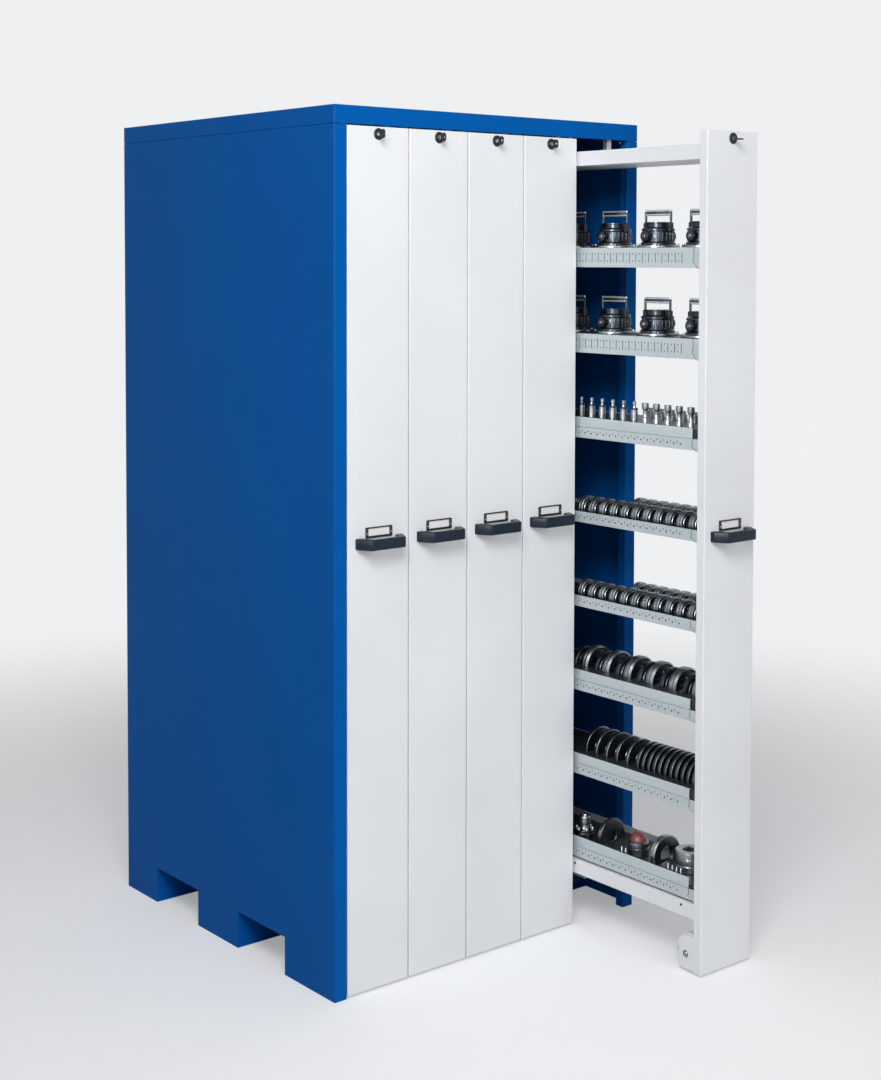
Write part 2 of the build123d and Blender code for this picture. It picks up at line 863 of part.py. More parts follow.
def upright_discs(places: list, x: float, floor: float, radius: float, bore: float, thickness: float) -> None:
    """Adds discs that stand on edge, with their axis along the tray."""
    for place in places:
        with BuildSketch(across(place - thickness / 2)) as ring:
            with Locations((x, floor + seat_clearance + radius)):
                Circle(radius)
                Circle(bore, mode=Mode.SUBTRACT)
        extrude(ring.sketch, amount=-thickness)


def slots(places: list, x: float, floor: float, width: float, thickness: float) -> None:
    """Cuts the slots that hold upright discs in a holder."""
    with BuildSketch(Plane.XY.offset(floor)) as cuts:
        with Locations(*[(x, place) for place in places]):
            Rectangle(width + 2 * slot_clearance, thickness + 2 * slot_clearance)
    extrude(cuts.sketch, amount=flat_tray_height + insert_height, mode=Mode.SUBTRACT)


def holder_block(level: int, height: float) -> None:
    """Adds a plain holder block on a level."""
    with BuildSketch(Plane.XY.offset(insert_floor(level))) as block:
        with Locations((centre, holder_middle)):
            Rectangle(holder_width(level), holder_length)
    extrude(block.sketch, amount=height)


def chord(radius: float, height: float) -> float:
    """Greatest width, up to a height above its lowest point, of a disc that stands on edge."""
    reach = min(height, radius)
    return 2 * (radius**2 - (radius - reach) ** 2) ** 0.5


punch_places = row(punch_count, punch_pitch, first_punch)
small_places = row(small_ring_count, small_ring_pitch, first_tool)
second_rings = small_places[:second_ring_count]
large_places = row(large_ring_count, large_ring_pitch, first_tool)
dark_places = [place + large_ring_pitch / 2 for place in large_places]
disc_places = row(disc_count, disc_pitch, first_tool)
spread_start = first_tool + (disc_count - 1) * disc_pitch + spread_disc_pitch
spread_places = row(spread_disc_count, spread_disc_pitch, spread_start)
cassette_places = row(cassette_count, cassette_pitch, cassette_first)
raised_holder = flat_tray_height + insert_height - 2 * tray_sheet - 2 * holder_gap
left_row = centre - small_ring_row
right_row = centre + small_ring_row
punch_left = centre - tray_inside / 2 + punch_row
punch_right = centre + tray_inside / 2 - punch_row
punch_floor = insert_floor(punch_level)
large_floor = insert_floor(large_ring_level)
disc_floor = insert_floor(disc_level)

with BuildPart() as punch_block:
    holder_block(punch_level, raised_holder)
    spool_spots = [(punch_left, place) for place in punch_places[:spool_count]]
    knob_spots = [(punch_left, place) for place in punch_places[spool_count:]]
    short_spots = [(punch_right, place) for place in punch_places[:short_punch_count]]
    punch_spots = spool_spots + knob_spots + short_spots
    with BuildSketch(Plane.XY.offset(punch_floor)):
        with Locations(*punch_spots):
            Circle(punch_radius + slot_clearance)
    extrude(amount=raised_holder, mode=Mode.SUBTRACT)

ring_blocks = []
for level in small_ring_levels:
    with BuildPart() as ring_block:
        holder_block(level, low_holder)
        width = chord(small_ring_radius, low_holder)
        slots(small_places, left_row, insert_floor(level), width, small_ring_thickness)
        slots(second_rings, right_row, insert_floor(level), width, small_ring_thickness)
    ring_blocks.append(ring_block)

with BuildPart() as large_block:
    holder_block(large_ring_level, raised_holder)
    slots(large_places, centre, large_floor, chord(large_ring_radius, raised_holder), large_ring_thickness)
    slots(dark_places, centre, large_floor, chord(dark_ring_radius, raised_holder), dark_ring_thickness)

with BuildPart() as disc_block:
    holder_block(disc_level, raised_holder)
    width = chord(disc_radius, raised_holder)
    slots(disc_places + spread_places, centre, disc_floor, width, disc_thickness)

mixed_floor = insert_floor(mixed_level)
mixed_top = mixed_floor + mixed_holder
with BuildPart() as mixed_block:
    holder_block(mixed_level, mixed_holder)
    width = chord(lone_ring_radius, mixed_holder)
    slots([face + lone_ring_place], centre, mixed_floor, width, lone_ring_thickness)
    width = chord(lone_disc_radius, mixed_holder)
    slots([face + lone_disc_place], centre, mixed_floor, width, lone_disc_thickness)

plates = []
for level in deep_tray_levels:
    plate_top = tray_floor(level) + deep_tray_height
    with BuildPart() as plate:
        with BuildSketch(Plane.XY.offset(insert_floor(level))):
            with Locations((centre, holder_middle)):
                Rectangle(holder_width(level), holder_length)
        extrude(amount=deep_tray_height - tray_sheet)
        with BuildSketch(Plane.XY.offset(insert_floor(level))):
            with Locations((centre, holder_middle)):
                Rectangle(holder_width(level), holder_length - 2 * holder_plate)
        extrude(amount=deep_tray_height - tray_sheet - holder_plate, mode=Mode.SUBTRACT)
    plates.append(plate)
save_group([punch_block, *ring_blocks, large_block, disc_block, mixed_block, *plates], "tool_holders")

# Punches: spools, bodies with a knob and short ones, each turned in one
spool_steps = (
    (punch_radius, spool_foot_rise),
    (punch_neck_radius, spool_neck_rise),
    (punch_radius, spool_head_rise),
)
knob_steps = ((punch_radius, knob_body_rise), (punch_knob_radius, knob_rise))
short_steps = ((punch_radius, short_body_rise), (punch_neck_radius, short_neck_rise))
with BuildPart() as punches:
    with BuildSketch(Plane.XY.offset(punch_floor)):
        with Locations(*punch_spots):
            Circle(punch_radius)
    extrude(amount=raised_holder)
    for spots, steps in ((spool_spots, spool_steps), (knob_spots, knob_steps), (short_spots, short_steps)):
        bottom = punch_floor + raised_holder
        for radius, rise in steps:
            with BuildSketch(Plane.XY.offset(bottom)):
                with Locations(*spots):
                    Circle(radius)
            extrude(amount=rise)
            bottom += rise
save(punches.part, "punches")

# Die rings and discs that stand on edge in the holders
with BuildPart() as small_rings:
    for level in small_ring_levels:
        floor = insert_floor(level)
        upright_discs(small_places, left_row, floor, small_ring_radius, small_ring_bore, small_ring_thickness)
        upright_discs(second_rings, right_row, floor, small_ring_radius, small_ring_bore, small_ring_thickness)
save(small_rings.part, "small_die_rings")

with BuildPart() as large_rings:
    upright_discs(large_places, centre, large_floor, large_ring_radius, large_ring_bore, large_ring_thickness)
    upright_discs(dark_places, centre, large_floor, dark_ring_radius, large_ring_bore, dark_ring_thickness)
save(large_rings.part, "large_die_rings")

with BuildPart() as discs:
    upright_discs(disc_places + spread_places, centre, disc_floor, disc_radius, disc_bore, disc_thickness)
save(discs.part, "thin_discs")

# Mixed tools of the lowest tray: rings, pins, a domed punch and a turret
pin_places = row(front_pin_count, pin_pitch, front_pin_place)
pin_places += row(rear_pin_count, pin_pitch, rear_pin_place)
dome_middle = centre - dome_offset
turret_steps = (
    (turret_flange_radius, turret_flange_height),
    (turret_neck_radius, turret_neck_height),
    (turret_head_radius, turret_head_height),
)
with BuildPart() as mixed_dies:
    with BuildSketch(Plane.XY.offset(mixed_top)):
        with Locations(*[(centre - pin_offset, place) for place in pin_places]):
            Circle(pin_radius)
    extrude(amount=pin_height)
    fillet(mixed_dies.edges().group_by(Axis.Z)[-1], pin_radius / 2)
    upright_discs(
        [face + lone_ring_place], centre, mixed_floor, lone_ring_radius, lone_ring_bore, lone_ring_thickness
    )
    upright_discs(
        [face + lone_disc_place], centre, mixed_floor, lone_disc_radius, disc_bore, lone_disc_thickness
    )
    with BuildSketch(Plane.XY.offset(mixed_top)):
        with Locations((centre, face + flat_ring_place)):
            Circle(flat_ring_radius)
            Circle(flat_ring_bore, mode=Mode.SUBTRACT)
    extrude(amount=flat_ring_count * flat_ring_thickness)
    with BuildSketch(Plane.XY.offset(mixed_top)):
        with Locations((dome_middle, face + dome_place)):
            Circle(dome_ring_radius)
    extrude(amount=dome_ring_height)
    with BuildSketch(along(dome_middle)):
        with BuildLine():
            dome_base = mixed_top + dome_ring_height
            CenterArc((face + dome_place, dome_base), dome_radius, 0, 90)
            Polyline(
                (face + dome_place, dome_base + dome_radius),
                (face + dome_place, dome_base),
                (face + dome_place + dome_radius, dome_base),
            )
        make_face()
    revolve(axis=Axis((dome_middle, face + dome_place, 0), (0, 0, 1)))
    bottom = mixed_top
    for radius, height in turret_steps:
        with BuildSketch(Plane.XY.offset(bottom)):
            with Locations((centre - turret_offset, face + turret_place)):
                Circle(radius)
        extrude(amount=height)
        bottom += height
save(mixed_dies.part, "mixed_dies")

# Tool cassettes: flange, drum and bail, on the two highest trays
cassette_pieces = []
for level in deep_tray_levels:
    seat = tray_floor(level) + deep_tray_height
    for place in cassette_places:
        with BuildPart() as flange:
            with BuildSketch(Plane.XY.offset(seat)):
                with Locations((centre, place)):
                    Circle(cassette_flange_radius)
            extrude(amount=cassette_flange_thickness)
        drum_bottom = seat + cassette_flange_thickness
        with BuildPart() as drum:
            with BuildSketch(Plane.XY.offset(drum_bottom)):
                with Locations((centre, place)):
                    Circle(cassette_radius)
            extrude(amount=cassette_rise)
        drum_top = drum_bottom + cassette_rise
        with BuildPart() as bail:
            with BuildSketch(along(centre - bail_width / 2)):
                with Locations((place, drum_top + bail_height / 2)):
                    Rectangle(bail_length - 2 * bail_strap, bail_height)
                with Locations((place, drum_top + (bail_height - bail_grip) / 2)):
                    opening = bail_height - bail_grip
                    Rectangle(bail_length - 4 * bail_strap, opening, mode=Mode.SUBTRACT)
            extrude(amount=bail_width)
        cassette_pieces += [flange, drum, bail]
save_group(cassette_pieces, "tool_cassettes")
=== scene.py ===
"""Looks of a punch tool cabinet, built round its fixed frame.

Metres throughout. The origin is on the floor at the middle of the cabinet's
footprint, +X runs to the right along the front, +Y to the back and +Z up.
"""

import logging
import math
from dataclasses import dataclass
from enum import Enum
from typing import Iterable, Sequence

import bmesh
import bpy
from mathutils import Euler, Matrix, Vector


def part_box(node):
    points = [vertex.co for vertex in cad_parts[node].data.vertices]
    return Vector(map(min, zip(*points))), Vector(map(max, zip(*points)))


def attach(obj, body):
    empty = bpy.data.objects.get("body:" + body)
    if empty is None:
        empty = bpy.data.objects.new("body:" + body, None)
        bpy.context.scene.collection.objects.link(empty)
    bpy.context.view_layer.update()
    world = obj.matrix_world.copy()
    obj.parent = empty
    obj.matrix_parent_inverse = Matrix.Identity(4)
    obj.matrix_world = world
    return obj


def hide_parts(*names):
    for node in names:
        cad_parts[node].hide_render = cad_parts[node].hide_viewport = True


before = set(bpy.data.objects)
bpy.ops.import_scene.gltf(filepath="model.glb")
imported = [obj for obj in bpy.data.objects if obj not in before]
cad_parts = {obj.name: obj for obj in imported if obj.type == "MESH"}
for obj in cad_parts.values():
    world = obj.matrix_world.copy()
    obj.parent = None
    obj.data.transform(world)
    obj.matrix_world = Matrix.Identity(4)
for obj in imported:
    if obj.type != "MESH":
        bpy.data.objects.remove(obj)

log = logging.getLogger("punch_tool_cabinet")
Colour = tuple[float, float, float]
Point = tuple[float, float]
Spot = tuple[float, float, float]
Socket = bpy.types.NodeSocket
Term = Socket | float | Sequence[float]

MM = 0.001
PULL_OUTS = range(1, 6)
OPEN_PULL_OUT = 5
OPEN_BODY = f"pull_out_{OPEN_PULL_OUT}"
SIDES = (-1, 1)
NOISE_MIDDLE = (0.3, 0.7)
FINE_EDGE = 0.5 * MM
SHEET_EDGE = 0.3 * MM
WELD = 0.001 * MM


class Facing(Enum):
    """The plane that a flat outline lies in, and the way that its thickness grows."""

    TOP = ((1, 0, 0), (0, 1, 0), (0, 0, 1))
    FRONT = ((1, 0, 0), (0, 0, 1), (0, -1, 0))
    SIDE = ((0, 1, 0), (0, 0, 1), (1, 0, 0))

    def at(self, x: float, y: float, z: float) -> Matrix:
        """Gives the matrix that carries a flat outline to a place."""
        turned = Matrix(self.value).transposed().to_4x4()
        return Matrix.Translation((x, y, z)) @ turned


class Mixed(Enum):
    """What a mix node mixes, with the numbers of its two inputs and its output."""

    COLOUR = ("RGBA", 6, 7, 2)
    DIRECTION = ("VECTOR", 4, 5, 1)


@dataclass(frozen=True)
class Span:
    """The box that one node of the frame fills at rest."""

    low: Vector
    high: Vector

    @classmethod
    def of(cls, node: str) -> "Span":
        """Reads the box of a node."""
        return cls(*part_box(node))

    @property
    def middle(self) -> Vector:
        """The centre of the box."""
        return (self.low + self.high) / 2

    @property
    def size(self) -> Vector:
        """The lengths of the box's sides."""
        return self.high - self.low


class Graph:
    """A tree of shader nodes under construction."""

    def __init__(self, tree: bpy.types.NodeTree) -> None:
        """Takes the tree that the nodes go into."""
        self.tree = tree

    def add(self, kind: str, **values: object) -> bpy.types.Node:
        """Adds a node and sets its properties and inputs.

        Args:
            kind: The node's type.
            values: Properties, or inputs where the name starts with a capital.

        Returns:
            The new node.
        """
        node = self.tree.nodes.new(kind)
        for key, value in values.items():
            if key[0].isupper():
                node.inputs[key.replace("_", " ")].default_value = value
            else:
                setattr(node, key, value)
        return node

    def feed(self, term: Term, slot: Socket) -> None:
        """Feeds an input.

        Args:
            term: The socket that is linked to it, or the plain value that is set on it.
            slot: The input.
        """
        if isinstance(term, bpy.types.NodeSocket):
            self.tree.links.new(term, slot)
        else:
            slot.default_value = term

    def reckon(self, operation: str, *terms: Term) -> Socket:
        """Adds one step of arithmetic.

        Args:
            operation: Its kind, in Blender's word.
            terms: The sockets or numbers that go in.

        Returns:
            The result.
        """
        node = self.add("ShaderNodeMath", operation=operation)
        for term, slot in zip(terms, node.inputs):
            self.feed(term, slot)
        return node.outputs[0]

    def mix(self, kind: Mixed, share: Socket, first: Term, second: Term) -> Socket:
        """Mixes two colours or directions.

        Args:
            kind: What is mixed.
            share: Share of the second, from 0 to 1.
            first: The first.
            second: The second.

        Returns:
            The mixture.
        """
        data_type, first_slot, second_slot, result = kind.value
        node = self.add("ShaderNodeMix", data_type=data_type)
        for term, slot in ((share, 0), (first, first_slot), (second, second_slot)):
            self.feed(term, node.inputs[slot])
        return node.outputs[result]

    def ramp(
        self, value: Socket, takes: Point, gives: Point = (0.0, 1.0), shape: str = "LINEAR"
    ) -> Socket:
        """Maps one range of a value to another.

        Args:
            value: The value.
            takes: The range that it comes from.
            gives: The range that it goes to.
            shape: Shape of the ramp, in Blender's word.

        Returns:
            The mapped value.
        """
        node = self.add(
            "ShaderNodeMapRange", From_Min=takes[0], From_Max=takes[1],
            To_Min=gives[0], To_Max=gives[1], interpolation_type=shape,
        )
        self.feed(value, node.inputs["Value"])
        return node.outputs["Result"]

    def seen_rays(self) -> Socket:
        """Tells the rays that show the background: to the camera, off metal, through glass.

        Returns:
            1 for these rays and 0 for the others.
        """
        path = self.add("ShaderNodeLightPath")
        seen = path.outputs["Is Camera Ray"]
        for ray in ("Is Glossy Ray", "Is Transmission Ray"):
            seen = self.reckon("MAXIMUM", seen, path.outputs[ray])
        return seen

    def finish_with(self, share: Socket, first: Socket, second: Socket, output: str) -> None:
        """Mixes two shaders into the tree's output.

        Args:
            share: Share of the second, from 0 to 1.
            first: The first shader.
            second: The second shader.
            output: Name of the output node.
        """
        node = self.add("ShaderNodeMixShader")
        for term, slot in zip((share, first, second), node.inputs):
            self.feed(term, slot)
        self.feed(node.outputs[0], self.tree.nodes[output].inputs["Surface"])


class Surface(Graph):
    """The nodes of one material, which start from a plain surface shader."""

    def __init__(self, name: str) -> None:
        """Starts a material.

        Args:
            name: Name of the material.
        """
        self.material = bpy.data.materials.new(name)
        self.material.use_nodes = True
        super().__init__(self.material.node_tree)
        self.shader = self.tree.nodes["Principled BSDF"]
        self.place = self.add("ShaderNodeTexCoord").outputs["Object"]

    def dress(self, **terms: Term) -> None:
        """Feeds the shader's own sockets, named with underscores for spaces."""
        for name, term in terms.items():
            self.feed(term, self.shader.inputs[name.replace("_", " ")])

    def noise(
        self, size: float, detail: float = 3.0, stretch: Spot = (1.0, 1.0, 1.0)
    ) -> Socket:
        """Adds noise whose features measure about size.

        Args:
            size: Size of a feature.
            detail: Number of finer layers.
            stretch: Shares by which the coordinates are multiplied.

        Returns:
            The noise's value.
        """
        mapping = self.add("ShaderNodeMapping", Scale=stretch)
        self.feed(self.place, mapping.inputs["Vector"])
        texture = self.add("ShaderNodeTexNoise", Scale=1 / size, Detail=detail)
        self.feed(mapping.outputs["Vector"], texture.inputs["Vector"])
        return texture.outputs["Fac"]

    def clouds(self, size: float, detail: float = 3.0) -> Socket:
        """Adds noise that runs from 0 to 1."""
        return self.ramp(self.noise(size, detail), NOISE_MIDDLE)

    def soft_edges(self, radius: float) -> Socket:
        """Gives the surface's normal with its sharp edges rounded."""
        return self.add("ShaderNodeBevel", Radius=radius, samples=4).outputs["Normal"]

    def beyond(self, axis: str, limit: float) -> Socket:
        """Tells the places that lie far from the middle.

        Args:
            axis: Name of the axis.
            limit: Distance from the middle along it.

        Returns:
            1 beyond the limit on either side, and 0 elsewhere.
        """
        parts = self.add("ShaderNodeSeparateXYZ")
        self.feed(self.place, parts.inputs[0])
        distance = self.reckon("ABSOLUTE", parts.outputs[axis])
        return self.reckon("GREATER_THAN", distance, limit)

    def relief(self, value: Socket, height: float, normal: Socket | None = None) -> None:
        """Raises the surface by a value.

        Args:
            value: Height from 0 to 1.
            height: Height that 1 stands for.
            normal: The normal that it is raised along, if not the surface's own.
        """
        bump = self.add("ShaderNodeBump", Distance=height, Strength=1.0)
        self.feed(value, bump.inputs["Height"])
        if normal:
            self.feed(normal, bump.inputs["Normal"])
        self.dress(Normal=bump.outputs["Normal"])


def shaded(colour: Colour, share: float) -> tuple[float, ...]:
    """Multiplies a colour by a share and makes it solid."""
    return (*(min(1.0, part * share) for part in colour), 1)


@dataclass(frozen=True)
class Finish:
    """A finish with a name, a colour and a roughness."""

    name: str
    colour: Colour
    roughness: float

    def fill(self, surface: Surface) -> None:
        """Adds the nodes of the finish to its material."""
        raise NotImplementedError

    def tint(self, surface: Surface, share: Socket, dark: float, light: float) -> None:
        """Varies the colour between a darker and a lighter share of the finish's own."""
        shades = shaded(self.colour, dark), shaded(self.colour, light)
        surface.dress(Base_Color=surface.mix(Mixed.COLOUR, share, *shades))

    def buff(self, surface: Surface, value: Socket, less: float, more: float) -> None:
        """Varies the roughness with a value, by so much less and so much more."""
        gives = self.roughness - less, self.roughness + more
        surface.dress(Roughness=surface.ramp(value, NOISE_MIDDLE, gives))

    def material(self) -> bpy.types.Material:
        """Gives the material, which is made at its first use.

        Returns:
            The material.
        """
        known = bpy.data.materials.get(self.name)
        if known:
            return known
        surface = Surface(self.name)
        surface.dress(Base_Color=(*self.colour, 1), Roughness=self.roughness)
        self.fill(surface)
        return surface.material


@dataclass(frozen=True)
class PowderCoat(Finish):
    """Stoved paint with a fine orange-peel texture."""

    gloss: float = 0.3
    peel: float = 0.0022
    peel_height: float = 0.00002
    edge: float = 0.0012
    cloud: float = 0.35
    patch: float = 0.05

    def fill(self, surface: Surface) -> None:
        """Varies the shade a little and adds the texture.

        Args:
            surface: The material.
        """
        surface.dress(Specular_IOR_Level=self.gloss)
        self.tint(surface, surface.clouds(self.cloud, 2.0), dark=0.965, light=1.035)
        self.buff(surface, surface.noise(self.patch), less=0.03, more=0.04)
        surface.relief(surface.noise(self.peel, 1.0), self.peel_height, self.normal(surface))

    def normal(self, surface: Surface) -> Socket:
        """Gives the normal with soft edges."""
        return surface.soft_edges(self.edge)


@dataclass(frozen=True)
class ShellPaint(PowderCoat):
    """Powder coat of the shell, whose four upright corners are bent to a wide radius."""

    bend: float = 0.004
    side: float = 0.448
    end: float = 0.440

    def normal(self, surface: Surface) -> Socket:
        """Rounds the surface at the corners and leaves it as it is elsewhere.

        Args:
            surface: The material.

        Returns:
            The normal.
        """
        corner = surface.reckon(
            "MULTIPLY", surface.beyond("X", self.side), surface.beyond("Y", self.end)
        )
        own = surface.add("ShaderNodeNewGeometry").outputs["Normal"]
        return surface.mix(Mixed.DIRECTION, corner, own, surface.soft_edges(self.bend))


@dataclass(frozen=True)
class ZincSheet(Finish):
    """Galvanized sheet with crystal flowers and faint rolling marks."""

    metallic: float = 0.25
    flower: float = 0.007
    flower_share: float = 0.45
    rolled: float = 0.03
    rolled_stretch: Spot = (1.0, 0.08, 1.0)
    rolled_share: float = 0.55
    grain: float = 0.004
    grain_height: float = 0.00002

    def fill(self, surface: Surface) -> None:
        """Lays crystals of slightly different brightness.

        Args:
            surface: The material.
        """
        surface.dress(Metallic=self.metallic)
        cells = surface.add("ShaderNodeTexVoronoi", Scale=1 / self.flower)
        surface.feed(surface.place, cells.inputs["Vector"])
        split = surface.add("ShaderNodeSeparateColor")
        surface.feed(cells.outputs["Color"], split.inputs["Color"])
        marks = surface.noise(self.rolled, 3.0, self.rolled_stretch)
        marks = surface.ramp(marks, NOISE_MIDDLE, (0.0, self.rolled_share))
        mottle = surface.reckon("MULTIPLY_ADD", split.outputs[0], self.flower_share, marks)
        self.tint(surface, mottle, dark=0.93, light=1.04)
        self.buff(surface, split.outputs[1], less=0.05, more=0.06)
        grain = surface.noise(self.grain)
        surface.relief(grain, self.grain_height, surface.soft_edges(FINE_EDGE))


@dataclass(frozen=True)
class Moulded(Finish):
    """Moulded plastic or rubber with a fine grain."""

    grain: float = 0.0006
    grain_height: float = 0.00005
    gloss: float = 0.5
    wear: float = 0.018
    patch: float = 0.03

    def fill(self, surface: Surface) -> None:
        """Adds grain and a light handling polish.

        Args:
            surface: The material.
        """
        surface.dress(Specular_IOR_Level=self.gloss)
        self.tint(surface, surface.clouds(self.wear, 4.0), dark=0.85, light=1.2)
        self.buff(surface, surface.noise(self.patch), less=0.07, more=0.07)
        grain = surface.noise(self.grain, 1.0)
        surface.relief(grain, self.grain_height, surface.soft_edges(FINE_EDGE))


@dataclass(frozen=True)
class TurnedSteel(Finish):
    """Ground or turned steel, blackened by oil in places."""

    metallic: float = 1.0
    stain: float = 0.55
    stain_size: float = 0.02
    patch: float = 0.006
    mark: float = 0.0009
    mark_height: float = 0.000006

    def fill(self, surface: Surface) -> None:
        """Adds oil stains and fine turning marks.

        Args:
            surface: The material.
        """
        surface.dress(Metallic=self.metallic)
        self.tint(surface, surface.clouds(self.stain_size), dark=self.stain, light=1.15)
        self.buff(surface, surface.noise(self.patch), less=0.04, more=0.08)
        marks = surface.noise(self.mark, 2.0)
        surface.relief(marks, self.mark_height, surface.soft_edges(FINE_EDGE))


@dataclass(frozen=True)
class PaperCard(Finish):
    """A paper card with faint grey ruling."""

    line: float = 0.006
    line_width: float = 0.12
    tooth: float = 0.0008
    tooth_height: float = 0.00003

    def fill(self, surface: Surface) -> None:
        """Adds the ruling and the paper's tooth.

        Args:
            surface: The material.
        """
        wave = surface.add("ShaderNodeTexWave", Scale=0.5 / self.line, Distortion=0.0)
        wave.bands_direction = "Z"
        surface.feed(surface.place, wave.inputs["Vector"])
        paper = surface.ramp(wave.outputs["Fac"], (0.0, self.line_width))
        self.tint(surface, paper, dark=0.8, light=1.0)
        surface.relief(surface.noise(self.tooth), self.tooth_height)


BLUE = ShellPaint("blue_powder_coat", (0.0004, 0.098, 0.385), 0.42, gloss=0.04)
WHITE = PowderCoat("white_powder_coat", (0.79, 0.81, 0.84), 0.42, gloss=0.2)
ZINC = ZincSheet("galvanized_sheet", (0.515, 0.58, 0.60), 0.42)
# A dark sheet that paints the shadow line round the tray brackets.
JOINT_SHADE = Moulded("shadow_joint", (0.045, 0.055, 0.06), 0.6, gloss=0.2)
POST_ZINC = TurnedSteel("bright_zinc_post", (0.62, 0.65, 0.68), 0.34, metallic=0.7, stain=0.85)
NYLON = Moulded("natural_nylon", (0.66, 0.65, 0.60), 0.5)
WHEEL = Moulded("moulded_wheel", (0.74, 0.76, 0.77), 0.46, grain=0.0012, grain_height=0.00004)
RUBBER = Moulded("black_rubber", (0.018, 0.018, 0.019), 0.75)
BLACK = Moulded("black_holder_plastic", (0.012, 0.015, 0.019), 0.42)
HANDLE = Moulded("grained_handle", (0.008, 0.018, 0.031), 0.36, gloss=0.2)
LOCK_BLACK = Moulded(
    "lock_enamel", (0.010, 0.014, 0.020), 0.32, grain=0.002, grain_height=0.00002, gloss=0.3
)
STEEL = TurnedSteel("turned_steel", (0.27, 0.298, 0.315), 0.29, stain=0.8)
RING_STEEL = TurnedSteel("ring_steel", (0.17, 0.192, 0.207), 0.31, stain=0.78)
DARK_STEEL = TurnedSteel("oiled_steel", (0.085, 0.094, 0.105), 0.27, stain=0.7)
BLACK_STEEL = TurnedSteel(
    "black_oxide_steel", (0.034, 0.044, 0.056), 0.29, metallic=0.8, stain=0.7
)
CARD = PaperCard("label_card", (0.82, 0.84, 0.85), 0.7)
DOME = Moulded(
    "red_brown_urethane", (0.20, 0.042, 0.040), 0.40, grain=0.002, grain_height=0.00003
)
RED_MARK = Moulded(
    "red_marking_paint", (0.26, 0.045, 0.045), 0.4, grain=0.001, grain_height=0.00002
)


def corner_arc(
    before: Vector, corner: Vector, after: Vector, radius: float, steps: int
) -> list[Point]:
    """Rounds one corner of an outline.

    Args:
        before: The point before the corner.
        corner: The corner.
        after: The point after it.
        radius: Radius of the round.
        steps: Number of straight pieces along it.

    Returns:
        The points along the round.
    """
    back, ahead = (before - corner).normalized(), (after - corner).normalized()
    half = back.angle(ahead) / 2
    reach = radius / math.tan(half)
    centre = corner + (back + ahead).normalized() * (radius / math.sin(half))
    start, end = corner + back * reach - centre, corner + ahead * reach - centre
    turn = start.angle_signed(end)
    points = []
    for step in range(steps + 1):
        spoke = start.copy()
        spoke.rotate(Matrix.Rotation(-turn * step / steps, 2))
        points.append(tuple(centre + spoke))
    return points


def rounded(
    outline: Sequence[Point], radii: float | Sequence[float], steps: int = 5
) -> list[Point]:
    """Rounds the corners of a closed outline.

    Args:
        outline: Its corners in order.
        radii: One radius for all, or one for each corner, where 0 leaves the corner sharp.
        steps: Number of straight pieces along each round.

    Returns:
        The points of the rounded outline.
    """
    points = [Vector(corner) for corner in outline]
    each = [radii] * len(points) if isinstance(radii, float) else radii
    loop = []
    for index, (corner, radius) in enumerate(zip(points, each)):
        if radius:
            following = points[(index + 1) % len(points)]
            loop += corner_arc(points[index - 1], corner, following, radius, steps)
        else:
            loop.append(tuple(corner))
    return loop


def rectangle(width: float, height: float, u: float = 0.0, v: float = 0.0) -> list[Point]:
    """Gives the corners of a rectangle about a middle point."""
    signs = ((-1, -1), (1, -1), (1, 1), (-1, 1))
    return [(u + a * width / 2, v + b * height / 2) for a, b in signs]


def circle(radius: float, u: float = 0.0, v: float = 0.0, steps: int = 24) -> list[Point]:
    """Gives points round a circle."""
    turns = (math.tau * step / steps for step in range(steps))
    return [(u + radius * math.cos(turn), v + radius * math.sin(turn)) for turn in turns]


def arc(
    u: float, v: float, radius: float, start: float, end: float, steps: int
) -> list[Point]:
    """Gives points along an arc, with its angles in degrees."""
    angles = (math.radians(start + (end - start) * step / steps) for step in range(steps + 1))
    return [(u + radius * math.cos(angle), v + radius * math.sin(angle)) for angle in angles]


def points_from(u: float, v: float, *steps: Point) -> list[Point]:
    """Gives points by their steps in millimetres from one point."""
    return [(u + a * MM, v + b * MM) for a, b in steps]


def both_faces(half: Sequence[Point], thick: float) -> list[Point]:
    """Closes the profile of a ring from its first half, bore to rim, and its thickness."""
    back = [(radius, thick - height) for radius, height in reversed(half)]
    return [*half, *back, half[0]]


def chamfered_ring(outer: float, bore: float, thick: float, chamfer: float) -> list[Point]:
    """Gives the closed profile of a flat ring with chamfered edges."""
    half = [(bore, chamfer), (bore + chamfer, 0), (outer - chamfer, 0), (outer, chamfer)]
    return both_faces(half, thick)


def row(low: float, high: float, width: float, count: int) -> list[float]:
    """Gives the middles of evenly spaced things between two ends."""
    step = (high - low - width) / (count - 1)
    return [low + width / 2 + index * step for index in range(count)]


def sheet_start(edge: float, inward: int, depth: float, thick: float) -> float:
    """Gives the lower face of a sheet that lies at some depth inside an edge."""
    return min(edge + inward * depth, edge + inward * (depth + thick))


def along_y(x: float, y: float, z: float) -> Matrix:
    """Places a turned shape with its axis along the tray."""
    return Matrix.Translation((x, y, z)) @ Matrix.Rotation(math.radians(-90), 4, "X")


def along_x(x: float, y: float, z: float) -> Matrix:
    """Places a turned shape with its axis across the cabinet."""
    return Matrix.Translation((x, y, z)) @ Matrix.Rotation(math.radians(90), 4, "Y")


def outward(side: int, x: float, y: float, z: float) -> Matrix:
    """Places a turned shape with its axis away from the middle, to the left or right side."""
    place = along_x(x, y, z)
    return place @ Matrix.Rotation(math.pi, 4, "X") if side < 0 else place


def upright(x: float, y: float, z: float) -> Matrix:
    """Places a turned shape with its axis up."""
    return Matrix.Translation((x, y, z))


def lifted(height: float) -> Matrix:
    """Moves a shape along the third axis of its place."""
    return Matrix.Translation((0, 0, height))


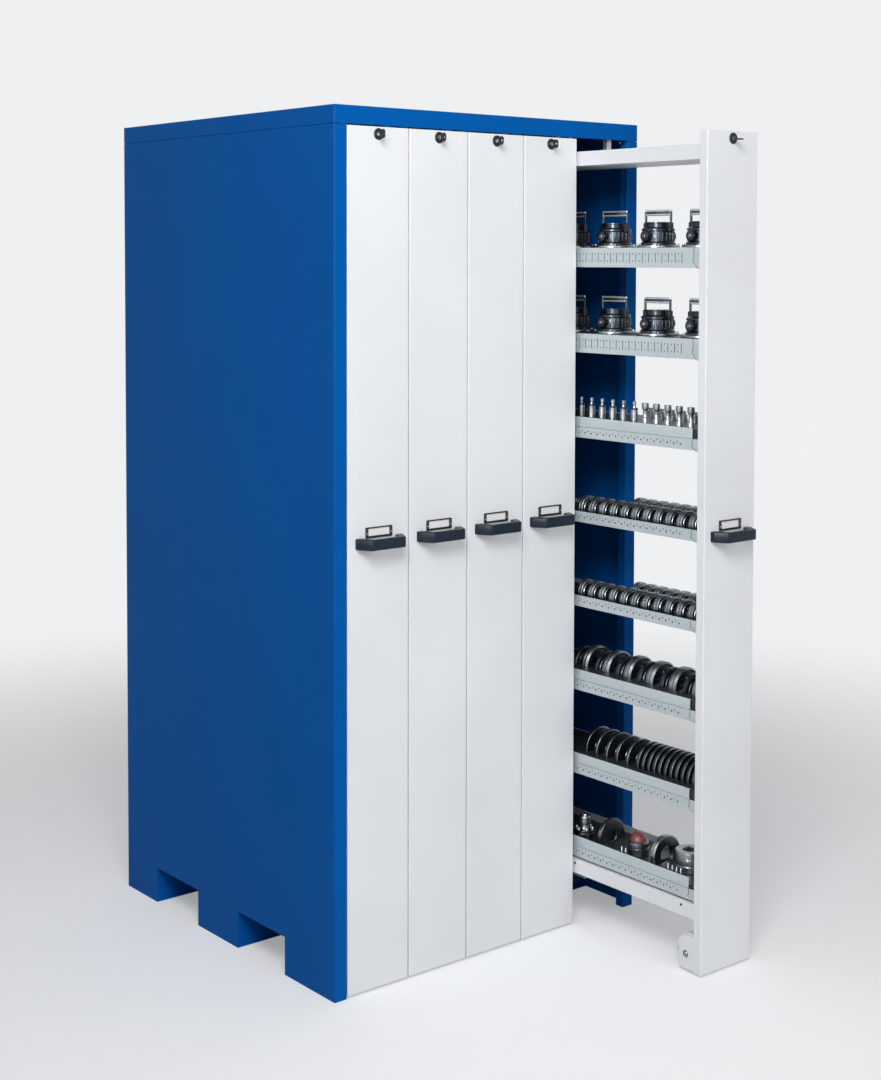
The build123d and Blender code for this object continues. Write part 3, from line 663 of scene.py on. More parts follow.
def mesh_from(curve: bpy.types.Curve) -> bpy.types.Mesh:
    """Turns a curve into a mesh and removes the curve.

    Args:
        curve: The curve.

    Returns:
        The mesh.
    """
    holder = bpy.data.objects.new(curve.name, curve)
    shape = bpy.data.meshes.new_from_object(holder)
    bpy.data.objects.remove(holder)
    bpy.data.curves.remove(curve)
    return shape


class Piece:
    """One visible piece under construction, with all its faces in one mesh."""

    def __init__(self, name: str) -> None:
        """Starts an empty piece.

        Args:
            name: Name of the piece.
        """
        self.name = name
        self.mesh = bmesh.new()
        self.finishes: list[Finish] = []

    def number(self, finish: Finish) -> int:
        """Gives the place of a finish among the piece's materials.

        Args:
            finish: The finish.

        Returns:
            Its number.
        """
        if finish not in self.finishes:
            self.finishes.append(finish)
        return self.finishes.index(finish)

    def take(self, shape: bpy.types.Mesh, place: Matrix, finish: Finish) -> None:
        """Adds a mesh at a place.

        Args:
            shape: The mesh, which is used up.
            place: Where it goes.
            finish: Its finish.
        """
        shape.transform(place)
        index = self.number(finish)
        extra = bmesh.new()
        extra.from_mesh(shape)
        bmesh.ops.remove_doubles(extra, verts=extra.verts, dist=WELD)
        for face in extra.faces:
            face.material_index = index
            face.smooth = True
        extra.to_mesh(shape)
        extra.free()
        self.mesh.from_mesh(shape)
        bpy.data.meshes.remove(shape)

    def plate(
        self, loops: Sequence[Sequence[Point]], thick: float, place: Matrix, finish: Finish,
        edge: float = 0.0,
    ) -> None:
        """Adds a flat plate with holes, its back face in the plane of its place.

        Args:
            loops: The outline and then its holes.
            thick: Thickness of the plate.
            place: Where the outline's plane goes.
            finish: Its finish.
            edge: Radius of its rounded edges.
        """
        curve = bpy.data.curves.new("outline", "CURVE")
        curve.dimensions = "2D"
        curve.fill_mode = "BOTH"
        curve.extrude = thick / 2 - edge
        curve.bevel_depth = edge
        curve.bevel_resolution = 2
        curve.offset = -edge
        for loop in loops:
            spline = curve.splines.new("POLY")
            spline.points.add(len(loop) - 1)
            for point, (u, v) in zip(spline.points, loop):
                point.co = (u, v, 0, 1)
            spline.use_cyclic_u = True
        self.take(mesh_from(curve), place @ lifted(thick / 2), finish)

    def rod(self, path: Sequence[Vector], radius: float, finish: Finish) -> None:
        """Adds a round rod along a path.

        Args:
            path: Points along its axis.
            radius: Its radius.
            finish: Its finish.
        """
        curve = bpy.data.curves.new("rod", "CURVE")
        curve.dimensions = "3D"
        curve.bevel_depth = radius
        curve.bevel_resolution = 4
        curve.use_fill_caps = True
        spline = curve.splines.new("POLY")
        spline.points.add(len(path) - 1)
        for point, spot in zip(spline.points, path):
            point.co = (*spot, 1)
        self.take(mesh_from(curve), Matrix.Identity(4), finish)

    def lathe(
        self, profile: Sequence[Point], place: Matrix, finish: Finish, steps: int = 40
    ) -> None:
        """Adds a turned shape about the third axis of its place.

        Args:
            profile: Radius and height of each point, from one end to the other, or all
                round in a ring.
            place: Where the axis goes.
            finish: Its finish.
            steps: Number of flats round the axis.
        """
        index = self.number(finish)
        turns = [math.tau * step / steps for step in range(steps)]
        rings = []
        for radius, height in profile:
            spots = ((radius * math.cos(turn), radius * math.sin(turn), height)
                     for turn in (turns if radius > WELD / 10 else turns[:1]))
            rings.append([self.mesh.verts.new(place @ Vector(spot)) for spot in spots])
        for lower, upper in zip(rings, rings[1:]):
            for step in range(steps):
                ahead = (step + 1) % steps
                around = [lower[step % len(lower)], lower[ahead % len(lower)],
                          upper[ahead % len(upper)], upper[step % len(upper)]]
                unique = list(dict.fromkeys(around))
                if len(unique) > 2:
                    face = self.mesh.faces.new(unique)
                    face.material_index = index
                    face.smooth = True

    def done(self, body: str, nodes: Iterable[str] = (), sharp: float = 32.0) -> None:
        """Closes the piece and lets it ride on its body.

        Args:
            body: The body that carries it.
            nodes: The nodes that it stands for.
            sharp: Angle in degrees from which an edge stays sharp.
        """
        bmesh.ops.remove_doubles(self.mesh, verts=self.mesh.verts, dist=WELD)
        bmesh.ops.recalc_face_normals(self.mesh, faces=self.mesh.faces)
        limit = math.radians(sharp)
        for edge in self.mesh.edges:
            edge.smooth = len(edge.link_faces) == 2 and edge.calc_face_angle(math.pi) < limit
        mesh = bpy.data.meshes.new(self.name)
        self.mesh.to_mesh(mesh)
        self.mesh.free()
        for finish in self.finishes:
            mesh.materials.append(finish.material())
        piece = bpy.data.objects.new(self.name, mesh)
        bpy.context.scene.collection.objects.link(piece)
        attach(piece, body)
        if nodes:
            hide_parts(*nodes)
        log.info("%s rides on %s", self.name, body)


def dress(node: str, finish: Finish) -> None:
    """Gives a node of the frame its finish.

    Args:
        node: Name of the node.
        finish: The finish.
    """
    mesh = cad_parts[node].data
    mesh.materials.clear()
    mesh.materials.append(finish.material())
    log.info("%s is dressed in %s", node, finish.name)


@dataclass(frozen=True)
class Shell:
    """The blue shell with its base, rails and top guides."""

    finishes: tuple[tuple[str, Finish], ...] = (
        ("left_side_panel", BLUE), ("right_side_panel", BLUE), ("back_panel", BLUE),
        ("top_cap", BLUE), ("fork_channels", BLUE), ("base_skids", BLUE),
        ("lower_rails", ZINC), ("rail_liners", NYLON), ("guide_posts", POST_ZINC),
        ("glide_blocks", NYLON), ("stop_buffers", RUBBER), ("back_screws", POST_ZINC),
    )

    def build(self) -> None:
        """Dresses the shell's nodes."""
        for node, finish in self.finishes:
            dress(node, finish)


@dataclass(frozen=True)
class Handle:
    """The bow handle, seen from above as a flat trapezium with rounded corners."""

    front_width: float = 92 * MM
    end_depth: float = 10 * MM
    leg: float = 16 * MM
    bar: float = 12 * MM
    corner: float = 4 * MM
    edge: float = 2.6 * MM

    def build(self, number: int) -> None:
        """Makes the bow of one pull-out.

        Args:
            number: Number of the pull-out.
        """
        span = Span.of(f"handle_{number}")
        depth = span.size.y
        half, half_front = span.size.x / 2, self.front_width / 2
        inner, inner_depth = half_front - self.bar, self.bar - depth
        outline = [
            (-half, -self.end_depth), (-half_front, -depth), (half_front, -depth),
            (half, -self.end_depth), (half, 0), (half - self.leg, 0), (inner, inner_depth),
            (-inner, inner_depth), (self.leg - half, 0), (-half, 0),
        ]
        near, wide = self.corner, 2 * self.corner
        radii = (near, wide, wide, near, 0, 0, near, near, 0, 0)
        piece = Piece(f"bow_handle_{number}")
        place = Facing.TOP.at(span.middle.x, span.high.y, span.low.z)
        piece.plate([rounded(outline, radii, 6)], span.size.z, place, HANDLE, self.edge)
        piece.done(f"pull_out_{number}", [f"handle_{number}"])


@dataclass(frozen=True)
class LabelHolder:
    """The thin frame above the bow, with its card and two pins."""

    lift: float = 6 * MM
    post: float = 7 * MM
    top_bar: float = 3 * MM
    bottom_bar: float = 4.5 * MM
    corner: float = 2.4 * MM
    edge: float = 0.7 * MM
    card: float = 1 * MM
    pin: float = 1.8 * MM

    def build(self, number: int) -> None:
        """Makes the holder of one pull-out.

        Args:
            number: Number of the pull-out.
        """
        span = Span.of(f"label_holder_{number}")
        width, height = span.size.x, span.size.z - self.lift
        x, face, z = span.middle.x, span.high.y, span.middle.z + self.lift / 2
        opening_width = width - 2 * self.post
        opening_height = height - self.top_bar - self.bottom_bar
        level = (self.bottom_bar - self.top_bar) / 2
        piece = Piece(f"label_frame_{number}")
        place = Facing.FRONT.at(x, face, z)
        outline = rounded(rectangle(width, height), self.corner)
        opening = rectangle(opening_width, opening_height, 0, level)
        piece.plate([outline, opening], span.size.y, place, BLACK, self.edge)
        tip = span.size.y + self.edge / 2
        profile = [(0, tip), (self.pin * 0.7, tip - 0.2 * MM), (self.pin, tip - 0.7 * MM),
                   (self.pin, 0)]
        for side in SIDES:
            spot = Facing.FRONT.at(x + side * (width - self.post) / 2, face, z - self.pin)
            piece.lathe(profile, spot, POST_ZINC, 16)
        card = rectangle(opening_width - self.edge, opening_height - self.edge, 0, level)
        piece.plate([card], self.card, place, CARD)
        piece.done(f"pull_out_{number}", [f"label_holder_{number}"])


@dataclass(frozen=True)
class Lock:
    """The cylinder lock with its rosette, core and key."""

    rosette: float = 13 * MM
    rosette_thick: float = 2.5 * MM
    core: float = 6 * MM
    core_clearance: float = 0.1 * MM
    core_proud: float = 1 * MM
    body: float = 9.5 * MM
    nut: float = 12.5 * MM
    nut_near: float = 1.5 * MM
    nut_far: float = 4.5 * MM
    cam_thick: float = 2.5 * MM
    cam_corner: float = 4 * MM
    neck_length: float = 5 * MM
    neck_width: float = 8 * MM
    key_thick: float = 2.6 * MM
    bow_length: float = 18 * MM
    bow_height: float = 20 * MM
    bow_corner: float = 6.5 * MM
    hole: float = 2.4 * MM
    hole_offset: float = 2.5 * MM

    def build(self, number: int) -> None:
        """Makes the lock and the key of one pull-out.

        Args:
            number: Number of the pull-out.
        """
        span = Span.of(f"lock_{number}")
        face = span.low.y + self.rosette_thick
        x, z = span.middle.x, span.middle.z
        depth, front = span.high.y - face, self.rosette_thick
        bore, body = self.core + self.core_clearance, self.body
        profile = [
            *points_from(bore, front, (0, -0.8), (0.5, -0.2), (1.2, 0)),
            *points_from(self.rosette, front, (-2.4, 0), (-0.8, -0.6), (0, -1.7)),
            (self.rosette, 0), (body, 0), (body, -depth), (bore, -depth),
        ]
        piece = Piece(f"lock_rosette_{number}")
        place = Facing.FRONT.at(x, face, z)
        piece.lathe([*profile, profile[0]], place, LOCK_BLACK)
        near, far = -self.nut_near, -self.nut_far
        nut = [(body, near), (self.nut, near), (self.nut, far), (body, far), (body, near)]
        piece.lathe(nut, place, POST_ZINC, 6)
        piece.done(f"pull_out_{number}", [f"lock_{number}"])
        self.build_key(number, x, face, z)

    def build_key(self, number: int, x: float, face: float, z: float) -> None:
        """Makes the turning plug with its key and cam.

        Args:
            number: Number of the pull-out.
            x: Place of the lock's axis.
            face: Front of the panel.
            z: Level of the lock's axis.
        """
        span = Span.of(f"key_{number}")
        on_side = span.size.x > span.size.z
        turn = Matrix.Rotation(math.radians(90 if on_side else 0), 4, "Z")
        place = Facing.FRONT.at(x, face, z) @ turn
        proud, depth = self.rosette_thick + self.core_proud, span.high.y - face
        piece = Piece(f"key_and_plug_{number}")
        edge = points_from(self.core, proud, (-0.6, 0), (0, -0.6))
        plug = [(0, proud), *edge, (self.core, -depth), (0, -depth)]
        piece.lathe(plug, place, DARK_STEEL, 32)
        cam = points_from(0, 0, (-6, -4.5), (6, -4.5), (4.5, 15), (-4.5, 15))
        behind = place @ lifted(-depth)
        piece.plate([rounded(cam, self.cam_corner)], self.cam_thick, behind, POST_ZINC, SHEET_EDGE)
        blade = Matrix(((0, 0, -1), (0, 1, 0), (1, 0, 0))).to_4x4()
        flat = place @ Matrix.Translation((-self.key_thick / 2, 0, proud)) @ blade
        sunk = self.core_proud
        neck = rectangle(self.neck_length + sunk, self.neck_width, (self.neck_length - sunk) / 2)
        piece.plate([neck], self.key_thick, flat, STEEL, SHEET_EDGE)
        middle = self.neck_length + self.bow_length / 2
        bow = rounded(rectangle(self.bow_length, self.bow_height, middle), self.bow_corner)
        eye = circle(self.hole, middle + self.hole_offset, 0, 20)
        piece.plate([bow, eye], self.key_thick, flat, LOCK_BLACK, 0.8 * MM)
        piece.done(f"key_turn_{number}", [f"key_{number}"])


@dataclass(frozen=True)
class FloorWheels:
    """The two wheels on the fixed axle of a pull-out."""

    width: float = 28 * MM
    bore: float = 6.1 * MM
    hub: float = 16 * MM
    recess: float = 4 * MM
    rim: float = 12 * MM
    edge: float = 5 * MM
    washer: float = 8.5 * MM
    washer_thick: float = 1.4 * MM
    bolt: float = 5.6 * MM
    bolt_inset: float = 1.5 * MM

    def profile(self, radius: float) -> list[Point]:
        """Gives the closed profile of one wheel.

        Args:
            radius: Radius of its tread.

        Returns:
            The profile.
        """
        half = [
            (self.bore, 0), *points_from(self.hub, 0, (-1.5, 0), (0, 1)),
            (self.hub + 1.5 * MM, self.recess), (radius - self.rim - 2 * MM, self.recess),
            (radius - self.rim, 0.8 * MM),
            *arc(radius - self.edge, self.edge, self.edge, -90, 0, 6),
        ]
        return both_faces(half, self.width)

    def build(self, number: int) -> None:
        """Makes both wheels of one pull-out.

        Args:
            number: Number of the pull-out.
        """
        span = Span.of(f"floor_wheels_{number}")
        profile = self.profile(span.size.z / 2)
        piece = Piece(f"wheel_pair_{number}")
        for start in (span.low.x, span.high.x - self.width):
            piece.lathe(profile, along_x(start, span.middle.y, span.middle.z), WHEEL, 64)
        piece.done(f"wheel_pair_{number}", [f"floor_wheels_{number}"], 24.0)
        self.add_bolts(number, span.middle)

    def add_bolts(self, number: int, middle: Vector) -> None:
        """Adds the washers and bolt heads over both ends of the axle.

        Args:
            number: Number of the pull-out.
            middle: Middle of the wheel pair.
        """
        outer = Span.of(f"front_panel_{number}").size.x / 2 - self.bolt_inset
        bolt, top = self.bolt, self.washer_thick
        piece = Piece(f"axle_bolts_{number}")
        edge = points_from(self.washer, 0, (-0.3, 0), (0, 0.3), (0, 1.1), (-0.4, 1.4))
        disc = [(0, 0), *edge, (0, top)]
        rim = points_from(bolt, 0, (0, 2.2), (-1.2, 3))
        socket = [(bolt * 0.55, 3 * MM), (bolt * 0.5, 2 * MM), (0, 2 * MM)]
        head = [(0, top), (bolt, top), *rim, *socket]
        for side in SIDES:
            place = outward(side, middle.x + side * outer, middle.y, middle.z)
            piece.lathe(disc, place, RING_STEEL, 32)
            piece.lathe(head, place, STEEL, 24)
        piece.done(f"pull_out_{number}")


class Perforation(Enum):
    """How the side of a tray is punched."""

    SLOTS = "slots"
    DOTS = "dots"


@dataclass(frozen=True)
class Tray:
    """One level of galvanized tray."""

    floor: float
    height: float
    punched: Perforation
    raised: bool


@dataclass(frozen=True)
class TrayStack:
    """The trays of one pull-out, with their punched sides and end brackets."""

    pitch: float = 205 * MM
    lowest: float = 166 * MM
    levels: int = 8
    flat: float = 26 * MM
    deep: float = 46 * MM
    first_deep: int = 6
    raised: tuple[int, ...] = (0, 1, 2, 5)
    sheet: float = 1.5 * MM
    wall: float = 0.8 * MM
    # Thickness, margin and shift of the black sheet behind the side holes, which paints the shade
    # inside them.
    dark: float = 0.2 * MM
    shade_lining_margin: float = 4 * MM
    shade_lining_shift: float = 6 * MM
    seam: float = 0.8 * MM
    hole_pitch: float = 20.65 * MM
    dot: float = 2.5 * MM
    dot_level: float = 0.46
    small_dot: float = 1.9 * MM
    small_dot_level: float = 0.64
    slot_width: float = 2.6 * MM
    slot_dot_levels: tuple[float, ...] = (0.33, 0.68)
    dot_steps: int = 10
    plain_front: float = 80 * MM
    plain_rear: float = 20 * MM
    hem: float = 1.6 * MM
    bracket_length: float = 53 * MM
    bracket_sheet: float = 1.2 * MM
    bracket_drop: float = 1.5 * MM
    bracket_edge: float = 0.35 * MM
    # Width and thickness of the dark sheet that paints a shadow line round the brackets.
    joint: float = 2.2 * MM
    shadow_line_thick: float = 0.35 * MM
    end_inset: float = 6 * MM

    def trays(self, number: int) -> list[Tray]:
        """Gives the trays of a pull-out: all in the open one, every second one in the others.

        Args:
            number: Number of the pull-out.

        Returns:
            The trays from the lowest up.
        """
        is_open = number == OPEN_PULL_OUT
        trays = []
        for level in range(0, self.levels, 1 if is_open else 2):
            is_deep = level >= self.first_deep
            trays.append(Tray(
                floor=self.lowest + level * self.pitch,
                height=self.deep if is_deep else self.flat,
                punched=Perforation.SLOTS if is_deep else Perforation.DOTS,
                raised=is_open and level in self.raised,
            ))
        return trays

    def holes(self, tray: Tray, length: float) -> list[list[Point]]:
        """Gives the holes punched in a tray's side, seen from its front end.

        Args:
            tray: The tray.
            length: Length of its side.

        Returns:
            One outline for each hole.
        """
        count = int((length - self.plain_front - self.plain_rear) / self.hole_pitch)
        tall, steps = tray.height, self.dot_steps
        loops = []
        for index in range(count):
            u = self.plain_front + index * self.hole_pitch
            between = u + self.hole_pitch / 2
            if tray.punched is Perforation.SLOTS:
                loops.append(rectangle(self.slot_width, tall / 2, u, tall / 2))
                for level in self.slot_dot_levels:
                    loops.append(circle(self.small_dot, between, tall * level, steps))
            else:
                loops.append(circle(self.dot, u, tall * self.dot_level, steps))
                loops.append(circle(self.small_dot, between, tall * self.small_dot_level, steps))
        return loops

    def build(self, number: int) -> None:
        """Makes the trays of one pull-out.

        Args:
            number: Number of the pull-out.
        """
        span = Span.of(f"trays_{number}")
        piece = Piece(f"tray_stack_{number}")
        for tray in self.trays(number):
            self.add_tray(piece, tray, span)
        piece.done(f"pull_out_{number}", [f"trays_{number}"])

    def add_tray(self, piece: Piece, tray: Tray, span: Span) -> None:
        """Adds one tray.

        Args:
            piece: The piece that takes it.
            tray: The tray.
            span: The box of all trays of the pull-out.
        """
        left, front = span.low.x, span.low.y
        width, length = span.size.x, span.size.y
        tall = tray.height - (self.seam if tray.raised else 0)
        self.add_sides(piece, tray, span, tall)
        inside = width - 2 * self.sheet
        floor = rectangle(inside, length, left + width / 2, front + length / 2)
        piece.plate([floor], self.sheet, Facing.TOP.at(0, 0, tray.floor), ZINC)
        end = rectangle(inside, tall - self.sheet, left + width / 2, (tall + self.sheet) / 2)
        for y in (front + self.end_inset + self.sheet, span.high.y):
            piece.plate([end], self.sheet, Facing.FRONT.at(0, y, tray.floor), ZINC)
        if not tray.raised:
            self.add_hems(piece, tray, span)
        self.add_brackets(piece, tray, span)

    def add_sides(self, piece: Piece, tray: Tray, span: Span, tall: float) -> None:
        """Adds both sides: a punched sheet, a black sheet of painted shade behind its holes and a
        plain sheet.

        Args:
            piece: The piece that takes them.
            tray: The tray.
            span: The box of all trays of the pull-out.
            tall: Height of the sides.
        """
        length = span.size.y
        outline = rectangle(length, tall, length / 2, tall / 2)
        middle = (length + self.plain_front) / 2 - self.shade_lining_shift
        # A black sheet behind the holes paints the shade that would fall inside them.
        shade_lining = rectangle(length - self.plain_front, tall - self.shade_lining_margin, middle, tall / 2)
        layers = (
            (self.wall, [outline, *self.holes(tray, length)], ZINC),
            (self.dark, [shade_lining], BLACK),
            (self.sheet - self.wall - self.dark, [outline], ZINC),
        )
        for edge, inward in ((span.low.x, 1), (span.high.x, -1)):
            depth = 0.0
            for thick, loops, finish in layers:
                x = sheet_start(edge, inward, depth, thick)
                piece.plate(loops, thick, Facing.SIDE.at(x, span.low.y, tray.floor), finish)
                depth += thick

    def add_hems(self, piece: Piece, tray: Tray, span: Span) -> None:
        """Adds the folded hem along the upper inner edge of both sides.

        Args:
            piece: The piece that takes them.
            tray: The tray.
            span: The box of all trays of the pull-out.
        """
        top = tray.floor + tray.height
        place = Facing.FRONT.at(0, span.high.y - self.sheet, 0)
        length = span.size.y - 2 * self.sheet - self.end_inset
        for x, inward in ((span.low.x + self.sheet, 1), (span.high.x - self.sheet, -1)):
            strip = rectangle(self.hem, 2 * self.hem, x + inward * self.hem / 2, top - self.hem)
            piece.plate([strip], length, place, ZINC, SHEET_EDGE)

    def add_brackets(self, piece: Piece, tray: Tray, span: Span) -> None:
        """Adds the rounded brackets on both sides of the tray's front end, each over a painted
        shadow line.

        Args:
            piece: The piece that takes them.
            tray: The tray.
            span: The box of all trays of the pull-out.
        """
        length, height, drop = self.bracket_length, tray.height, self.bracket_drop
        foot = length * 0.55
        loop = [
            (0, -drop), (foot, -drop), *arc(foot, drop * 2, drop * 3, -90, -20, 6),
            (length * 0.86, height * 0.34), (length * 0.8, height * 0.5),
            (length * 0.8, height - 1 * MM), (length * 0.74, height), (0, height),
        ]
        # A slightly larger dark sheet behind each bracket paints the shadow line round its edge.
        shadow = [(u + (self.joint if u > 0 else 0), v) for u, v in loop]
        layers = (
            (loop, self.bracket_sheet, ZINC, self.bracket_edge),
            (shadow, self.shadow_line_thick, JOINT_SHADE, 0.0),
        )
        for side, inward in ((span.low.x, 1), (span.high.x, -1)):
            for outline, thick, finish, edge in layers:
                x = sheet_start(side, inward, -thick, thick)
                place = Facing.SIDE.at(x, span.low.y, tray.floor)
                piece.plate([outline], thick, place, finish, edge)


@dataclass(frozen=True)
class Inserts:
    """The stepped pans that raise four trays of the open pull-out."""

    sheet: float = 1.5 * MM
    clearance: float = 0.3 * MM
    gap: float = 0.3 * MM
    rise: float = 24 * MM
    hem: float = 2 * MM
    edge: float = 0.45 * MM

    def build(self) -> None:
        """Makes the four inserts."""
        span, stack = Span.of("tray_inserts"), TrayStack()
        piece = Piece("raised_inserts")
        for level in stack.raised:
            self.add_insert(piece, stack.lowest + level * stack.pitch, stack.flat, span)
        piece.done(OPEN_BODY, ["tray_inserts"])

    def add_insert(self, piece: Piece, floor: float, rim: float, span: Span) -> None:
        """Adds one insert.

        Args:
            piece: The piece that takes it.
            floor: Underside of its tray.
            rim: Height of the tray's own sides.
            span: The box of all inserts.
        """
        front, length, sheet = span.low.y, span.size.y, self.sheet
        tall, top = self.rise - self.gap, floor + rim
        band = rectangle(length, tall, length / 2, tall / 2)
        nested = rectangle(length, rim, length / 2, rim / 2)
        middle, depth = front + length / 2, sheet + self.clearance
        for edge, inward in ((span.low.x, 1), (span.high.x, -1)):
            outer = sheet_start(edge, inward, 0, sheet)
            piece.plate(
                [band], sheet, Facing.SIDE.at(outer, front, top + self.gap), ZINC, self.edge
            )
            inner = sheet_start(edge, inward, depth, sheet)
            piece.plate([nested], sheet, Facing.SIDE.at(inner, front, floor + sheet), ZINC)
            x = edge + inward * (2 * sheet + depth) / 2
            shoulder = rectangle(depth, length, x, middle)
            piece.plate([shoulder], sheet, Facing.TOP.at(0, 0, top), ZINC)
            x = edge + inward * (sheet + self.hem / 2)
            strip = rectangle(self.hem, 1.5 * self.hem, x, top + self.rise - self.hem)
            place = Facing.FRONT.at(0, span.high.y, 0)
            piece.plate([strip], length, place, ZINC, SHEET_EDGE)
        base = rectangle(span.size.x - 2 * (sheet + depth), length, span.middle.x, middle)
        piece.plate([base], sheet, Facing.TOP.at(0, 0, floor + sheet), ZINC)


@dataclass(frozen=True)
class PullOut:
    """One upright pull-out, dressed from its front panel to its trays."""

    number: int
    screw_level: float = 150 * MM
    screw_setbacks: tuple[float, ...] = (64 * MM, 413 * MM, 760 * MM)
    screw_radius: float = 3.2 * MM
    screw_proud: float = 0.9 * MM
    screw_socket: float = 0.2 * MM
    beam_inset: float = 3.2 * MM

    def build(self) -> None:
        """Makes all the pieces of the pull-out."""
        dress(f"front_panel_{self.number}", WHITE)
        dress(f"frame_{self.number}", WHITE)
        for kind in (Handle, LabelHolder, Lock, FloorWheels, TrayStack):
            kind().build(self.number)
        self.add_screws()

    def add_screws(self) -> None:
        """Adds the socket screws in the sides of the bottom beam."""
        panel, beam = Span.of(f"front_panel_{self.number}"), Span.of(f"frame_{self.number}")
        half = beam.size.x / 2 - self.beam_inset
        radius, proud, socket = self.screw_radius, self.screw_proud, self.screw_socket
        profile = [(0, socket), (radius * 0.45, socket), (radius * 0.5, proud),
                   (radius * 0.85, proud), (radius, 0)]
        piece = Piece(f"beam_screws_{self.number}")
        for setback in self.screw_setbacks:
            for side in SIDES:
                x, y = panel.middle.x + side * half, panel.low.y + setback
                piece.lathe(profile, outward(side, x, y, self.screw_level), BLACK_STEEL, 18)
        piece.done(f"pull_out_{self.number}")


@dataclass(frozen=True)
class Punches:
    """Turned punches that stand in the holes of their holder."""

    radius: float = 8.5 * MM
    knob: float = 4.5 * MM
    count: int = 12
    spools: int = 6
    short: int = 8
    sunk: float = 46 * MM
    cap_proud: float = 0.06 * MM
    cap_tall: float = 4.4 * MM
    cap_level: float = 26.7 * MM

    def turned(self, *steps: Point) -> list[Point]:
        """Gives a profile from radii and heights over the holder, in millimetres."""
        return [(0, 0), (self.radius, 0), *points_from(0, self.sunk, *steps)]

    def spool(self) -> list[Point]:
        """Gives the profile of a punch with a waist.

        Returns:
            The profile.
        """
        return self.turned(
            (8.5, 9), (7.8, 10.5), (6.2, 13), (5.5, 16), (5.5, 26), (6.4, 29), (8.1, 31.5),
            (8.5, 33), (8.5, 43.6), (7.6, 45), (3, 45), (2.6, 42), (0, 42),
        )

    def knobbed(self) -> list[Point]:
        """Gives the profile of a plain punch with a small knob.

        Returns:
            The profile.
        """
        return self.turned(
            (8.5, 24), (8.0, 24.4), (8.0, 25.4), (8.5, 25.8), (8.5, 30), (7.6, 31), (3.6, 31),
            (3.2, 36), (4.3, 37.5), (4.5, 45.4), (3.2, 47), (0, 47),
        )

    def stub(self) -> list[Point]:
        """Gives the profile of a short punch.

        Returns:
            The profile.
        """
        return self.turned(
            (8.5, 10), (8.0, 10.5), (8.0, 11.5), (8.5, 12), (8.5, 15), (7.5, 16), (5.5, 16),
            (5.5, 22.6), (4.2, 24), (1.5, 24), (0, 22.5),
        )

    def build(self) -> None:
        """Makes both rows."""
        span = Span.of("punches")
        left, right, floor = span.low.x + self.radius, span.high.x - self.radius, span.low.z
        cap = chamfered_ring(self.radius + self.cap_proud, self.knob, self.cap_tall, 0.5 * MM)
        piece = Piece("punch_rows")
        places = row(span.low.y, span.high.y, 2 * self.radius, self.count)
        for index, y in enumerate(places):
            spot = upright(left, y, floor)
            if index < self.spools:
                piece.lathe(self.spool(), spot, STEEL, 32)
            else:
                piece.lathe(self.knobbed(), spot, STEEL, 32)
                piece.lathe(cap, spot @ lifted(self.sunk + self.cap_level), BLACK_STEEL, 32)
            if index < self.short:
                piece.lathe(self.stub(), upright(right, y, floor), STEEL, 32)
        piece.done(OPEN_BODY, ["punches"])


@dataclass(frozen=True)
class DieRings:
    """Small die rings on edge, in two rows on two trays."""

    radius: float = 29 * MM
    bore: float = 14 * MM
    thick: float = 19 * MM
    count: int = 11
    second: int = 8
    insert: float = 20.5 * MM
    insert_proud: float = 0.25 * MM

    def profile(self) -> list[Point]:
        """Gives the stepped profile of a ring.

        Returns:
            The profile.
        """
        r, t = self.radius, self.thick
        return both_faces([
            *points_from(self.bore, 0, (0, 1), (1, 0)), (r * 0.72, 0), (r * 0.75, 1.4 * MM),
            *points_from(r, 0, (-2, 1.4), (0, 3.2)), (r, t * 0.42), (r - 1.1 * MM, t * 0.46),
        ], t)

    def build(self) -> None:
        """Makes the rings of both trays, each with the black face of its insert."""
        span = Span.of("small_die_rings")
        profile, proud = self.profile(), self.insert_proud
        face = chamfered_ring(
            self.insert, self.bore - 0.2 * MM, self.thick + 2 * proud, 0.6 * MM
        )
        places = row(span.low.y, span.high.y, self.thick, self.count)
        rows = (
            (span.low.x + self.radius, places, RING_STEEL),
            (span.high.x - self.radius, places[:self.second], STEEL),
        )
        piece = Piece("small_ring_rows")
        for z in (span.low.z + self.radius, span.high.z - self.radius):
            for x, spots, finish in rows:
                for y in spots:
                    place = along_y(x, y - self.thick / 2, z)
                    piece.lathe(profile, place, finish, 48)
                    piece.lathe(face, place @ lifted(-proud), BLACK_STEEL, 40)
        piece.done(OPEN_BODY, ["small_die_rings"])


